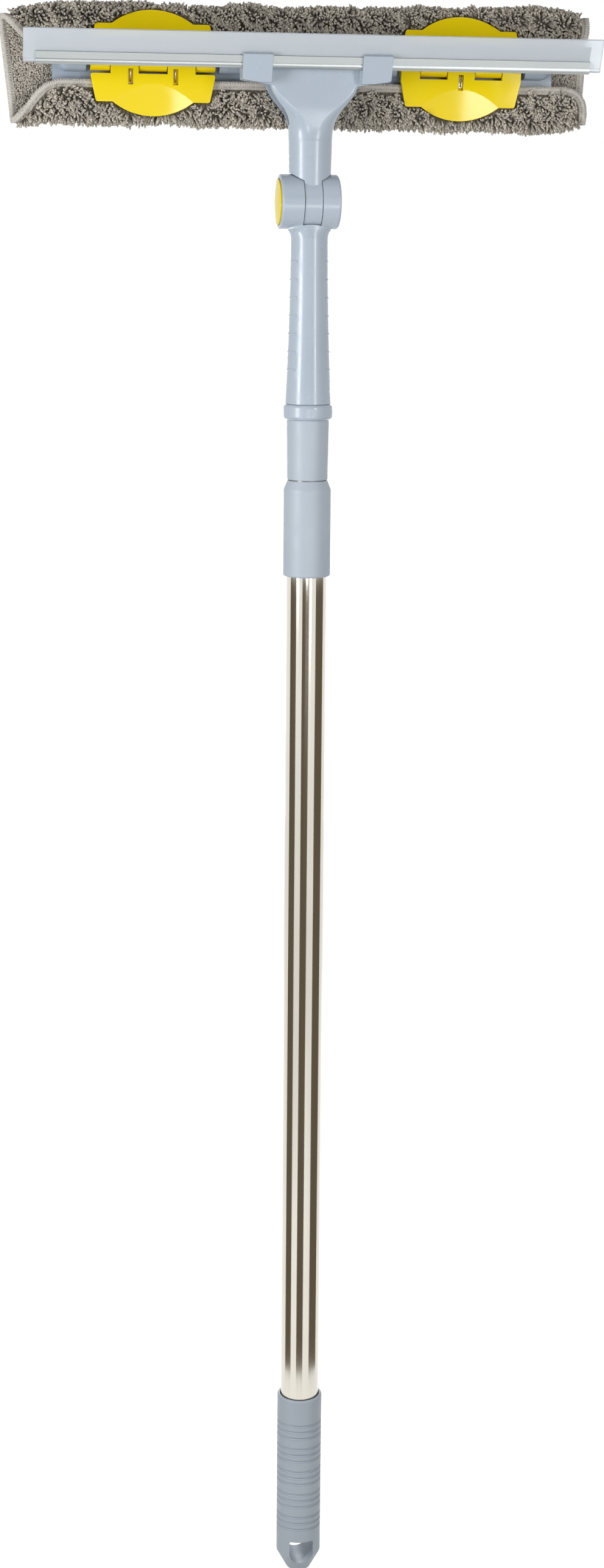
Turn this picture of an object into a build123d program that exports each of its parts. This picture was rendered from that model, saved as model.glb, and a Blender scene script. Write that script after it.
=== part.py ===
from build123d import *
from math import asin, cos, degrees, pi, radians, sin, sqrt
import os

# A window squeegee with a cloth pad on a telescopic pole, in millimetres.
# +X runs along the blade, -Y is the blade's side and +Z runs up the pole.
# The origin is on the pole's axis, halfway up the straight wall of the grip.

# Clearances
PRESS_GAP = 0.05
SLIDE_GAP = 0.15
SWING_GAP = 0.3
CLOTH_GAP = 0.4

# How far a cut runs past a face, how far joined shapes lap, and how near a corner's
# radius comes to the whole side that it rounds
CUT_OVER = 1.0
LAP = 2.0
FULL_ROUND = 0.995
TINY = 1e-9

# Steel tubes, one sliding in the other
TUBE_DIAMETER = 22.0
TUBE_WALL = 0.6
TUBE_SHOWN = 484.6
INNER_TUBE_PLAY = 0.9
INNER_TUBE_WALL = 0.5
INNER_TUBE_LENGTH = 495.0

# Pole grip
GRIP_WALL = 1.9
GRIP_LENGTH = 113.0
GRIP_TAPER = 11.6
GRIP_END_DIAMETER = 13.6
GRIP_END_ROUND = 2.2
GRIP_TOP_ROUND = 1.2
GRIP_MOUTH_GAP = 0.5
GRIP_MOUTH_DEPTH = 3.0
GRIP_FLOOR = 4.0
GROOVES_IN_GROUP = 3
GROOVE_PITCH = 3.9
GROOVE_GROUP_PITCH = 14.75
GROOVE_RADIUS = 0.9
GROOVE_START = 20.2
GROOVE_END = 15.0
HANG_HOLE_WIDTH = 14.0
HANG_HOLE_HEIGHT = 15.0
HANG_HOLE_RISE = 6.8
HANG_HOLE_ROUND = 1.0

# Sleeve and twist lock
SLEEVE_WALL = 1.7
SLEEVE_LENGTH = 51.8
SLEEVE_SHOULDER = 5.0
SLEEVE_LIP = 1.1
SLEEVE_FOOT_ROUND = 1.0
SLEEVE_CAP = 7.0
LOCK_PLUG_DEPTH = 30.0
LOCK_FLANGE = 4.0
LOCK_RING_LENGTH = 22.0
LOCK_JOURNAL_DIAMETER = 10.0
LOCK_JOURNAL_OFFSET = 0.6
LOCK_RING_SPLIT = 2.0

# Connector, collar and short handle
CONNECTOR_GAP = 0.4
CONNECTOR_SHOWN = 32.0
CONNECTOR_WALL = 1.3
CONNECTOR_FLARE = 0.4
CONNECTOR_FLOOR = 6.0
CONNECTOR_ROUND = 0.6
SPIGOT_DIAMETER = 16.4
SPIGOT_WALL = 2.4
SPIGOT_LENGTH = 38.0
SPIGOT_ROUND = 0.8
COLLAR_WALL = 2.75
COLLAR_HEIGHT = 8.6
COLLAR_ROUND = 2.2
HANDLE_LENGTH = 104.8
HANDLE_TAIL_WALL = 2.15
HANDLE_SHOULDER = 1.85
HANDLE_WAIST_DRAW = 1.35
HANDLE_WAIST_RISE = 32.0
HANDLE_TOP_DRAW = 2.45
HANDLE_TOP_DROP = 20.8
HANDLE_CORE_STEP = 2.25
RIDGE_PITCH = 9.4
RIDGE_START = 18.0
RIDGE_END = 5.0
RIDGE_RADIUS = 0.9
RIDGE_HEIGHT = 0.35
RIDGE_SWEEP = 84.0

# Pivot: ears on the handle, a knuckle on the head, and the clutch that locks them
EAR_DIAMETER = 28.5
EAR_ROUND = 1.2
EAR_RIM = 2.0
EAR_WEB = 2.0
RIGHT_EAR_WEB = 3.45
EAR_FLARE_RADIUS = 5.0
EAR_FLARE_INSET = 0.6
EAR_FLARE_STEP = 0.8
EAR_FLARE_SHARES = (0, 0.45, 0.75, 0.92, 1)
KNUCKLE_WIDTH = 9.3
KNUCKLE_STEP = 0.45
BUTTON_PROUD = 0.7
BUTTON_DOME = 0.9
BUTTON_TRAVEL = 3.0
BUTTON_SKIN = 1.4
BUTTON_SKIRT = 1.6
BUTTON_LEGS = 3
BUTTON_LEG_GAP = 1.7
BUTTON_LEG_WIDTH = 3.2
BUTTON_LEG_DEPTH = 2.2
BOLT_DIAMETER = 5.0
BOLT_HEAD_RIM = 1.7
BOLT_HEAD_HEIGHT = 2.0
BOLT_HEAD_ROUND = 1.2
BOLT_END_ROUND = 0.4
NUT_WALL = 1.5
NUT_HEIGHT = 4.0
NUT_SINK = 0.3
PLUG_RIM = 0.9
PLUG_CONE_LENGTH = 3.45
PLUG_CONE_RISE = 1.0
PLUG_HEX_WALL = 1.7
PLUG_END_GAP = 1.3
LOCK_SPRING_WIRE = 0.8
LOCK_SPRING_PLAY = 1.2
LOCK_SPRING_TURNS = 4
LOCK_SPRING_SEAT = 2.0
LOCK_SPRING_POCKET = 3.6

# Head bracket, each level above the one below it and each width beyond the last
NECK_FOOT_DIAMETER = 21.7
NECK_FLARE = 0.6
NECK_RISE = 30.9
FAN_WAIST_STEP = 8.7
FAN_WAIST_SPREAD = 1.5
FAN_WAIST_SWELL = 0.4
FAN_WAIST_CORNER = 9.0
FAN_FLANK_STEP = 7.7
FAN_FLANK_SPREAD = 7.8
FAN_FLANK_CORNER = 5.5
FAN_FLANK_EASE = 0.25
FAN_BROAD_STEP = 7.6
FAN_BROAD_SPREAD = 11.2
FAN_BROAD_CORNER = 3.0
FRONT_PLATE_STEP = 11.7
FAN_TOP_SPREAD = 4.2
FAN_TOP_CORNER = 2.0
REAR_PLATE_STEP = 8.4
FRONT_PLATE_FACE = 13.4
REAR_PLATE_FACE = 6.5
FAN_PLATE = 4.0
FAN_GAP_DEPTH = 9.8
FAN_GAP_ROUND = 1.5
FAN_WEB = 5.0
CLIP_WIDTH = 15.3
CLIP_FRONT_WALL = 1.4
CLIP_REAR_WALL = 2.2
CLIP_OVER_LIP = 1.4
CLIP_DROP = 6.0
CLIP_TOE = 2.1
CLIP_SLOPE = 2.3
CLIP_ROUND = 1.4

# Rail and blade, leaning forward
RAIL_LEAN = 23.0
RAIL_STANDOFF = 4.2
RAIL_DROP = 0.3
RAIL_LENGTH = 288.0
RAIL_BEAD_WALL = 0.75
RAIL_WALL = 0.85
RAIL_LIP_RISE = 2.6
RAIL_FLANGE_RISE = 7.0
BLADE_OVERHANG = 6.0
BLADE_THICKNESS = 1.6
BLADE_RISE = 4.2
BLADE_BULB_DIAMETER = 2.6

# Pad frame
CLAMP_DROP = 5.8
CLAMP_STANDOFF = 2.7
FRAME_END = 2.45
FRAME_HEIGHT = 52.0
FRAME_PLATE = 3.2
FRAME_CORNER = 6.0
LUG_WALL = 3.35
LUG_HEAD_GAP = 0.85
INNER_LUG_LENGTH = 22.3
OUTER_LUG_LENGTH = 14.3
LUG_GAP = 2.1
FRAME_SCREW_OFFSET = 13.0
FRAME_SCREW_DIAMETER = 3.5
FRAME_SCREW_HEAD_RIM = 1.75
FRAME_SCREW_HEAD_HEIGHT = 2.2
SCREW_BOSS_WALL = 2.05
SCREW_BOSS_HEIGHT = 4.5
SCREW_BOSS_FLOOR = 1.5

# Clamp flaps with their pins and springs
FLAP_WIDTH = 65.2
FLAP_LEAN = 7.0
FLAP_THICKNESS = 3.0
FLAP_ROOT_GAP = 0.8
FLAP_LENGTH = 14.1
FLAP_SHOULDER_DRAW = 2.9
FLAP_ARC_CHORD = 42.1
FLAP_ARC_RISE = 7.2
FLAP_CORNER = 1.2
FLAP_SCOOP_REACH = 10.0
FLAP_SCOOP_SLOPE = 0.07
FLAP_KNUCKLE_WALL = 1.0
FLAP_KNUCKLE_LENGTH = 14.8
FLAP_KNUCKLE_GAP = 0.35
FLAP_SLOT_WIDTH = 2.7
FLAP_SLOT_START = 2.5
FLAP_SLOT_LENGTH = 7.9
FLAP_SLOT_OFFSET = 11.7
PIN_DIAMETER = 2.5
PIN_GRIP = 7.0
SPRING_WIRE = 0.9
SPRING_PLAY = 0.9
SPRING_TURNS = 5
SPRING_TIP_GAP = 1.2
SPRING_LOOP_RADIUS = 0.75

# Cloth, folded round the frame
CLOTH_OVERHANG = 24.4
CLOTH_SHIFT = -2.0
CLOTH_FOLD = 6.1
CLOTH_BACK = 11.6
CLOTH_LIP = 10.4
CLOTH_EDGE_GAP = 2.1
CLOTH_ROUND = 9.0
CLOTH_POCKET = 1.0
CLOTH_HEAD_ROOM = 2.0
CLOTH_FLANK_ROOM = 0.6

# Radii of the pole's pieces
tube_radius = TUBE_DIAMETER / 2
tube_bore = tube_radius - TUBE_WALL
inner_radius = tube_bore - INNER_TUBE_PLAY
inner_bore = inner_radius - INNER_TUBE_WALL
grip_radius = tube_radius + PRESS_GAP + GRIP_WALL
spigot_radius = SPIGOT_DIAMETER / 2
handle_socket = spigot_radius + PRESS_GAP
handle_tail = handle_socket + HANDLE_TAIL_WALL
handle_foot = handle_tail + HANDLE_SHOULDER
handle_top = handle_foot - HANDLE_TOP_DRAW

# Levels up the pole
grip_top = (GRIP_LENGTH - GRIP_TAPER) / 2
grip_bottom = grip_top - GRIP_LENGTH
hang_hole_bottom = grip_bottom + HANG_HOLE_RISE
hang_hole_top = hang_hole_bottom + HANG_HOLE_HEIGHT
tube_bottom = hang_hole_top + GRIP_FLOOR
sleeve_bottom = grip_top + TUBE_SHOWN
sleeve_top = sleeve_bottom + SLEEVE_LENGTH
tube_top = sleeve_top - SLEEVE_CAP
connector_bottom = sleeve_top + CONNECTOR_GAP
collar_bottom = connector_bottom + CONNECTOR_SHOWN
collar_top = collar_bottom + COLLAR_HEIGHT
inner_tube_top = collar_bottom - CONNECTOR_FLOOR
inner_tube_bottom = inner_tube_top - INNER_TUBE_LENGTH
pivot_z = collar_top + HANDLE_LENGTH
flare_foot = pivot_z - EAR_DIAMETER / 2 + EAR_FLARE_INSET - EAR_FLARE_RADIUS

# Radii and places along the pivot's axis
ear_radius = EAR_DIAMETER / 2
knuckle_side = KNUCKLE_WIDTH / 2
ear_side = knuckle_side + SWING_GAP
bolt_radius = BOLT_DIAMETER / 2
bolt_head_radius = bolt_radius + BOLT_HEAD_RIM
nut_flats = BOLT_DIAMETER + 2 * NUT_WALL
button_radius = ear_radius - EAR_RIM - SWING_GAP
button_skirt_depth = BUTTON_SKIN + BOLT_HEAD_HEIGHT
button_pocket = button_skirt_depth - BUTTON_PROUD + BUTTON_TRAVEL + SWING_GAP
leg_circle = bolt_head_radius + BUTTON_LEG_GAP + BUTTON_LEG_DEPTH / 2
plug_start_radius = leg_circle + BUTTON_LEG_DEPTH / 2 + PLUG_RIM
plug_end_radius = plug_start_radius + PLUG_CONE_RISE
plug_start = -ear_side - PLUG_CONE_LENGTH
web_face = plug_start - SWING_GAP
pocket_floor = web_face - EAR_WEB
left_ear_end = pocket_floor - button_pocket
button_rim = left_ear_end - BUTTON_PROUD
right_ear_end = ear_side + LOCK_SPRING_SEAT + RIGHT_EAR_WEB + NUT_HEIGHT + NUT_SINK
nut_end = right_ear_end - NUT_SINK
plug_end = ear_side - BUTTON_TRAVEL - PLUG_END_GAP
lock_spring_radius = bolt_radius + LOCK_SPRING_PLAY + LOCK_SPRING_WIRE
plug_hex_flats = 2 * (lock_spring_radius + SWING_GAP + PLUG_HEX_WALL)

# Levels and widths of the head
neck_top = NECK_FOOT_DIAMETER / 2 + NECK_FLARE
waist_z = pivot_z + NECK_RISE + FAN_WAIST_STEP
flank_z = waist_z + FAN_FLANK_STEP
broad_z = flank_z + FAN_BROAD_STEP
front_plate_top = broad_z + FRONT_PLATE_STEP
rear_plate_top = front_plate_top + REAR_PLATE_STEP
waist_width = 2 * neck_top + FAN_WAIST_SPREAD
flank_width = waist_width + FAN_FLANK_SPREAD
broad_width = flank_width + FAN_BROAD_SPREAD
fan_width = broad_width + FAN_TOP_SPREAD
front_plate_back = FAN_PLATE - FRONT_PLATE_FACE
rear_plate_front = REAR_PLATE_FACE - FAN_PLATE

# Rail, measured in its leaning frame, and the clips that wrap it
rail_y = -FRONT_PLATE_FACE - RAIL_STANDOFF
rail_z = front_plate_top - RAIL_DROP
blade_half = BLADE_THICKNESS / 2
rail_slot = blade_half + SLIDE_GAP
rail_half = rail_slot + RAIL_WALL
bulb_radius = BLADE_BULB_DIAMETER / 2
bead_radius = bulb_radius + SLIDE_GAP + RAIL_BEAD_WALL
rail_lip_top = 2 * bead_radius + RAIL_LIP_RISE
rail_flange_top = rail_lip_top + RAIL_FLANGE_RISE
blade_top = rail_flange_top + BLADE_RISE
clip_inner = fan_width / 2 - SWING_GAP
clip_outer = clip_inner + CLIP_WIDTH
clip_foot = rail_z - CLIP_DROP - CLIP_TOE

# Clamps and pad frame
pin_radius = PIN_DIAMETER / 2
coil_radius = pin_radius + SPRING_PLAY + SPRING_WIRE / 2
coil_space = coil_radius + SPRING_WIRE / 2 + SLIDE_GAP
flap_radius = coil_space + FLAP_KNUCKLE_WALL
flap_root = flap_radius + FLAP_ROOT_GAP
flap_reach = flap_root + FLAP_LENGTH
flap_arc_reach = flap_reach + FLAP_ARC_RISE
flap_back = flap_radius - FLAP_THICKNESS
slot_end = FLAP_SLOT_START + FLAP_SLOT_LENGTH
lug_radius = pin_radius + LUG_WALL
lug_start = fan_width / 2 + LUG_HEAD_GAP
inner_lug_face = lug_start + INNER_LUG_LENGTH
clamp_x = inner_lug_face + LUG_GAP + FLAP_WIDTH / 2
outer_lug_face = clamp_x + FLAP_WIDTH / 2 + LUG_GAP
outer_lug_end = outer_lug_face + OUTER_LUG_LENGTH
clamp_y = REAR_PLATE_FACE + CLAMP_STANDOFF
clamp_z = rear_plate_top - CLAMP_DROP
frame_half = outer_lug_end + FRAME_END
frame_front = clamp_y + flap_radius + SWING_GAP
frame_back = frame_front + FRAME_PLATE
screw_radius = FRAME_SCREW_DIAMETER / 2
screw_head_radius = screw_radius + FRAME_SCREW_HEAD_RIM
boss_front = rear_plate_front - SCREW_BOSS_HEIGHT
screw_end = boss_front + SCREW_BOSS_FLOOR


def outline(*corners):
    """A closed face whose corners are (a, b) or (a, b, round)."""
    points = [corner[:2] for corner in corners]
    rounds = [corner[2] if len(corner) > 2 else 0 for corner in corners]
    return make_face(FilletPolyline(*points, radius=rounds, close=True))


def turned(*corners):
    """A solid turned about the pole's axis from corners (radius, height)."""
    return revolve(Plane.XZ * outline(*corners), axis=Axis.Z)


def pipe(bore, radius, bottom, top):
    """A plain tube on the pole's axis."""
    return turned((bore, bottom), (radius, bottom), (radius, top), (bore, top))


def rod(radius, bottom, top, x=0):
    """A plain round bar along Z."""
    return Pos(x, 0, (bottom + top) / 2) * Cylinder(radius, top - bottom)


def pivot_plane():
    """The plane of sections turned about the pivot: x along its axis, y outward."""
    return Plane(origin=(0, 0, pivot_z), x_dir=(1, 0, 0), z_dir=(0, -1, 0))


def turned_on_pivot(face):
    """A solid turned about the pivot's axis from a face (x, radius)."""
    return revolve(pivot_plane() * face, axis=Axis((0, 0, pivot_z), (1, 0, 0)))


def rod_on_x(radius, start, end, y=0, z=pivot_z):
    """A plain round bar along X, on the pivot's axis unless another is given."""
    return Pos((start + end) / 2, y, z) * Rot(0, 90, 0) * Cylinder(radius, end - start)


def rod_on_y(radius, start, end, x, z):
    """A plain round bar along Y."""
    return Pos(x, (start + end) / 2, z) * Rot(90, 0, 0) * Cylinder(radius, end - start)


def hex_on_pivot(flats, start, end):
    """A hexagonal bar along the pivot's axis."""
    plane = Plane(origin=(start, 0, pivot_z), x_dir=(0, 1, 0), z_dir=(1, 0, 0))
    return extrude(plane * RegularPolygon(flats / 2, 6, major_radius=False), amount=end - start)


def block(x0, x1, y0, y1, z0, z1):
    """A plain block between two corners."""
    return Pos((x0 + x1) / 2, (y0 + y1) / 2, (z0 + z1) / 2) * Box(x1 - x0, y1 - y0, z1 - z0)


def front_prism(y0, y1, *corners):
    """A solid with the outline (x, z) as seen from the front, from y0 back to y1."""
    plane = Plane(origin=(0, y1, 0), x_dir=(1, 0, 0), z_dir=(0, -1, 0))
    return extrude(plane * outline(*corners), amount=y1 - y0)


def side_prism(x0, x1, *corners):
    """A solid with the outline (y, z) as seen from the side, from x0 to x1."""
    plane = Plane(origin=(x0, 0, 0), x_dir=(0, 1, 0), z_dir=(1, 0, 0))
    return extrude(plane * outline(*corners), amount=x1 - x0)


def rail_point(back, up):
    """The (y, z) of a point in the rail's leaning frame."""
    lean = radians(RAIL_LEAN)
    return rail_y + back * cos(lean) - up * sin(lean), rail_z + back * sin(lean) + up * cos(lean)


def rail_prism(section, x0, x1):
    """A section in the leaning frame of the rail (backward, up the blade), run along X."""
    lean = radians(RAIL_LEAN)
    plane = Plane(origin=(x0, rail_y, rail_z), x_dir=(0, cos(lean), sin(lean)), z_dir=(1, 0, 0))
    return extrude(plane * section, amount=x1 - x0)


def strip(back0, back1, up0, up1):
    """A rectangle in the rail's leaning frame."""
    return Pos((back0 + back1) / 2, (up0 + up1) / 2) * Rectangle(back1 - back0, up1 - up0)


def biarc(start, leaving, end, arriving):
    """Two arcs that join two points with given directions, as a list of edges."""
    span = end - start
    both = leaving + arriving
    square = 2 * (leaving.dot(arriving) - 1)
    linear = -2 * span.dot(both)
    constant = span.dot(span)
    if abs(square) < TINY:
        reach = -constant / linear
    else:
        reach = (-linear - sqrt(linear * linear - 4 * square * constant)) / (2 * square)
    first = start + leaving * reach
    last = end - arriving * reach
    middle = (first + last) * 0.5
    return [
        TangentArc(start, middle, tangent=leaving),
        TangentArc(middle, end, tangent=last - first),
    ]


def wire_along(edges, wire):
    """A round wire swept along joined edges."""
    path = Wire(edges)
    section = Plane(origin=path @ 0, z_dir=path % 0) * Circle(wire / 2)
    return sweep(section, path=path)


def least_gap(edges, wire):
    """The least gap of a wire to itself, measured on points along its edges."""
    samples = 6
    points = []
    for edge in edges:
        points += [edge @ (i / samples) for i in range(samples)]
    travelled = [0.0]
    for a, b in zip(points, points[1:]):
        travelled.append(travelled[-1] + (b - a).length)
    apart = 4 * wire
    gaps = [
        (points[i] - points[j]).length - wire
        for i in range(len(points))
        for j in range(i)
        if travelled[i] - travelled[j] > apart
    ]
    return min(gaps)


def pole_grip():
    """Matte grip with ring grooves, a narrowing end and a hang hole through it."""
    bore = tube_radius + PRESS_GAP
    mouth = tube_radius + GRIP_MOUTH_GAP
    face = outline(
        (0, grip_bottom),
        (GRIP_END_DIAMETER / 2, grip_bottom, GRIP_END_ROUND),
        (grip_radius, -grip_top, GRIP_END_ROUND),
        (grip_radius, grip_top, min(GRIP_TOP_ROUND, FULL_ROUND * (grip_radius - mouth))),
        (mouth, grip_top),
        (mouth, grip_top - GRIP_MOUTH_DEPTH),
        (bore, grip_top - GRIP_MOUTH_DEPTH),
        (bore, tube_bottom),
        (0, tube_bottom),
    )
    grooved = 2 * grip_top - GROOVE_START - GROOVE_END
    middle = (GROOVES_IN_GROUP - 1) / 2
    for group in range(int(grooved / GROOVE_GROUP_PITCH) + 1):
        for groove in range(GROOVES_IN_GROUP):
            drop = GROOVE_START + group * GROOVE_GROUP_PITCH + (groove - middle) * GROOVE_PITCH
            face -= Pos(grip_radius, grip_top - drop) * Circle(GROOVE_RADIUS)
    grip = revolve(Plane.XZ * face, axis=Axis.Z)
    half = HANG_HOLE_WIDTH / 2
    hole = front_prism(
        -grip_radius - CUT_OVER,
        grip_radius + CUT_OVER,
        (-half, hang_hole_top, HANG_HOLE_ROUND),
        (half, hang_hole_top, HANG_HOLE_ROUND),
        (half, hang_hole_bottom, half * FULL_ROUND),
        (-half, hang_hole_bottom, half * FULL_ROUND),
    )
    return grip - hole


def outer_tube():
    """Lower steel tube, from the grip's floor to the sleeve's cap."""
    return pipe(tube_bore, tube_radius, tube_bottom, tube_top)


def lock_sleeve():
    """Sleeve on the tube's upper end, with a bush that guides the inner tube."""
    bore = tube_radius + PRESS_GAP
    radius = bore + SLEEVE_WALL
    guide = inner_radius + SLIDE_GAP
    return turned(
        (bore, sleeve_bottom),
        (radius, sleeve_bottom, min(SLEEVE_FOOT_ROUND, FULL_ROUND * SLEEVE_WALL)),
        (radius, sleeve_top - SLEEVE_SHOULDER, SLEEVE_SHOULDER),
        (guide + SLEEVE_LIP, sleeve_top),
        (guide, sleeve_top),
        (guide, tube_top),
        (bore, tube_top),
    )


def inner_tube():
    """Upper steel tube, which slides in the outer tube."""
    return pipe(inner_bore, inner_radius, inner_tube_bottom, inner_tube_top)


def lock_core():
    """Plug in the inner tube's end, with the off-centre journal of the twist lock."""
    upper_flange = inner_tube_bottom - LOCK_FLANGE
    journal_end = upper_flange - LOCK_RING_LENGTH - 2 * SWING_GAP
    plug = rod(inner_bore - PRESS_GAP, inner_tube_bottom, inner_tube_bottom + LOCK_PLUG_DEPTH)
    upper = rod(inner_radius, upper_flange, inner_tube_bottom)
    journal = rod(LOCK_JOURNAL_DIAMETER / 2, journal_end, upper_flange, LOCK_JOURNAL_OFFSET)
    lower = rod(inner_radius, journal_end - LOCK_FLANGE, journal_end)
    return plug + upper + journal + lower


def lock_ring():
    """Split ring on the journal, which the journal wedges in the outer tube."""
    top = inner_tube_bottom - LOCK_FLANGE - SWING_GAP
    bottom = top - LOCK_RING_LENGTH
    radius = tube_bore - SLIDE_GAP
    bore = LOCK_JOURNAL_DIAMETER / 2 + LOCK_JOURNAL_OFFSET + SLIDE_GAP
    half = LOCK_RING_SPLIT / 2
    split = block(-radius - CUT_OVER, 0, -half, half, bottom - CUT_OVER, top + CUT_OVER)
    return pipe(bore, radius, bottom, top) - split


def top_connector():
    """Connector from the inner tube to the short handle's socket."""
    bore = inner_radius + PRESS_GAP
    foot = bore + CONNECTOR_WALL
    core = spigot_radius - SPIGOT_WALL
    spigot_top = collar_bottom + SPIGOT_LENGTH
    return turned(
        (bore, connector_bottom),
        (foot, connector_bottom, min(CONNECTOR_ROUND, FULL_ROUND * CONNECTOR_WALL)),
        (foot + CONNECTOR_FLARE, collar_bottom),
        (spigot_radius, collar_bottom),
        (spigot_radius, spigot_top, min(SPIGOT_ROUND, FULL_ROUND * SPIGOT_WALL)),
        (core, spigot_top),
        (core, inner_tube_top),
        (bore, inner_tube_top),
    )


def handle_collar():
    """Rounded ring at the foot of the short handle."""
    bore = handle_tail + PRESS_GAP
    radius = bore + COLLAR_WALL
    soft = min(COLLAR_ROUND, FULL_ROUND * COLLAR_WALL)
    return turned(
        (bore, collar_bottom), (radius, collar_bottom, soft), (radius, collar_top, soft), (bore, collar_top)
    )


def handle_body():
    """The handle's tapered shaft, hollow for the connector, with ridges on both sides."""
    core = handle_socket - HANDLE_CORE_STEP
    socket_top = collar_bottom + SPIGOT_LENGTH + SWING_GAP
    core_top = pivot_z - HANDLE_TOP_DROP
    flank = ThreePointArc(
        (handle_foot, collar_top),
        (handle_foot - HANDLE_WAIST_DRAW, collar_top + HANDLE_WAIST_RISE),
        (handle_top, core_top),
    )
    rest = Polyline(
        (handle_top, core_top),
        (handle_top, flare_foot),
        (0, flare_foot),
        (0, core_top),
        (core, core_top),
        (core, socket_top),
        (handle_socket, socket_top),
        (handle_socket, collar_bottom),
        (handle_tail, collar_bottom),
        (handle_tail, collar_top),
        (handle_foot, collar_top),
    )
    shaft = revolve(Plane.XZ * make_face([flank, rest]), axis=Axis.Z)
    centre = flank.arc_center
    ridged = core_top - collar_top - RIDGE_START - RIDGE_END
    for ridge in range(int(ridged / RIDGE_PITCH) + 1):
        height = collar_top + RIDGE_START + ridge * RIDGE_PITCH
        flank_radius = centre.X - sqrt(flank.radius**2 - (height - centre.Y) ** 2)
        bead = Pos(flank_radius + RIDGE_HEIGHT - RIDGE_RADIUS, height) * Circle(RIDGE_RADIUS)
        swept = revolve(Plane.XZ * bead, axis=Axis.Z, revolution_arc=RIDGE_SWEEP)
        for side in (0, 180):
            shaft += Rot(0, 0, side - RIDGE_SWEEP / 2) * swept
    return shaft


def ear_flare():
    """The widening that carries the shaft out to the two ears."""
    left = min(EAR_FLARE_RADIUS, -left_ear_end - EAR_ROUND - handle_top)
    right = min(EAR_FLARE_RADIUS, right_ear_end - EAR_ROUND - handle_top)

    def section(share):
        spread = 1 - sqrt(1 - share * share)
        centre = (right - left) * spread / 2
        half_width = handle_top + (right + left) * spread / 2
        half_depth = handle_top - EAR_FLARE_STEP * share
        return Pos(centre, 0, flare_foot + share * EAR_FLARE_RADIUS) * Ellipse(half_width, half_depth)

    flare = loft([section(share) for share in EAR_FLARE_SHARES])
    crest = pivot_z - ear_radius / 2
    return flare + extrude(section(1), amount=crest - flare_foot - EAR_FLARE_RADIUS)


def short_handle():
    """Short handle with the pivot's two ears, the button's pocket and the clutch seat."""
    handle = handle_body() + ear_flare()
    handle += turned_on_pivot(
        outline(
            (left_ear_end, 0),
            (left_ear_end, ear_radius, EAR_ROUND),
            (right_ear_end, ear_radius, EAR_ROUND),
            (right_ear_end, 0),
        )
    )
    handle -= rod_on_x(ear_radius + SWING_GAP, -ear_side, ear_side)
    handle -= rod_on_x(button_radius + SWING_GAP, left_ear_end - CUT_OVER, pocket_floor)
    handle -= clutch_seat()
    handle -= rod_on_x(bolt_radius + PRESS_GAP, pocket_floor - CUT_OVER, right_ear_end + CUT_OVER)
    for leg in button_legs(pocket_floor - CUT_OVER, web_face + CUT_OVER, SWING_GAP):
        handle -= leg
    handle -= rod_on_x(lock_spring_radius + SWING_GAP, 0, ear_side + LOCK_SPRING_SEAT)
    return handle - hex_on_pivot(nut_flats + 2 * PRESS_GAP, nut_end - NUT_HEIGHT, right_ear_end + CUT_OVER)


def clutch_seat():
    """The conical space in the left ear that the clutch plug seats in."""
    slope = PLUG_CONE_RISE / PLUG_CONE_LENGTH
    start_radius = plug_start_radius + SLIDE_GAP - slope * SWING_GAP
    end_radius = plug_end_radius + SLIDE_GAP
    return turned_on_pivot(
        outline((web_face, 0), (web_face, start_radius), (-ear_side, end_radius), (0, end_radius), (0, 0))
    )


def button_legs(start, end, grow):
    """The button's legs, spaced round the bolt, or the slots for them when grown."""
    depth = BUTTON_LEG_DEPTH + 2 * grow
    width = BUTTON_LEG_WIDTH + 2 * grow
    leg = Pos((start + end) / 2, 0, leg_circle) * Box(end - start, width, depth)
    turn = 360 / BUTTON_LEGS
    return [Pos(0, 0, pivot_z) * Rot(i * turn, 0, 0) * leg for i in range(BUTTON_LEGS)]


def lock_button():
    """Domed push button with a skirt and legs that reach the clutch plug."""
    crown = button_rim - BUTTON_DOME
    under = button_rim + BUTTON_SKIN
    skirt_end = button_rim + button_skirt_depth
    inner = button_radius - BUTTON_SKIRT
    dome = TangentArc((crown, 0), (button_rim, button_radius), tangent=(0, 1))
    rest = Polyline(
        (button_rim, button_radius),
        (skirt_end, button_radius),
        (skirt_end, inner),
        (under, inner),
        (under, 0),
        (crown, 0),
    )
    button = turned_on_pivot(make_face([dome, rest]))
    for leg in button_legs(button_rim, plug_start - PRESS_GAP, 0):
        button += leg
    return button


def lock_plug():
    """Clutch plug: a cone that seats in the left ear and a hexagon that keys the knuckle."""
    plug = turned_on_pivot(
        outline(
            (plug_start, 0), (plug_start, plug_start_radius), (-ear_side, plug_end_radius), (-ear_side, 0)
        )
    )
    plug += hex_on_pivot(plug_hex_flats, -ear_side, plug_end)
    plug -= rod_on_x(bolt_radius + SLIDE_GAP, plug_start - CUT_OVER, plug_end + CUT_OVER)
    return plug - rod_on_x(lock_spring_radius + SWING_GAP, plug_end - LOCK_SPRING_POCKET, plug_end + CUT_OVER)


def pivot_bolt():
    """Round-headed bolt that is the pivot's axle."""
    top = pocket_floor - BOLT_HEAD_HEIGHT
    return turned_on_pivot(
        outline(
            (top, 0),
            (top, bolt_head_radius, BOLT_HEAD_ROUND),
            (pocket_floor, bolt_head_radius),
            (pocket_floor, bolt_radius),
            (nut_end, bolt_radius, BOLT_END_ROUND),
            (nut_end, 0),
        )
    )


def pivot_nut():
    """Hexagon nut in the right ear's pocket."""
    start = nut_end - NUT_HEIGHT
    nut = hex_on_pivot(nut_flats, start, nut_end)
    return nut - rod_on_x(bolt_radius + PRESS_GAP, start - CUT_OVER, nut_end + CUT_OVER)


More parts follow.
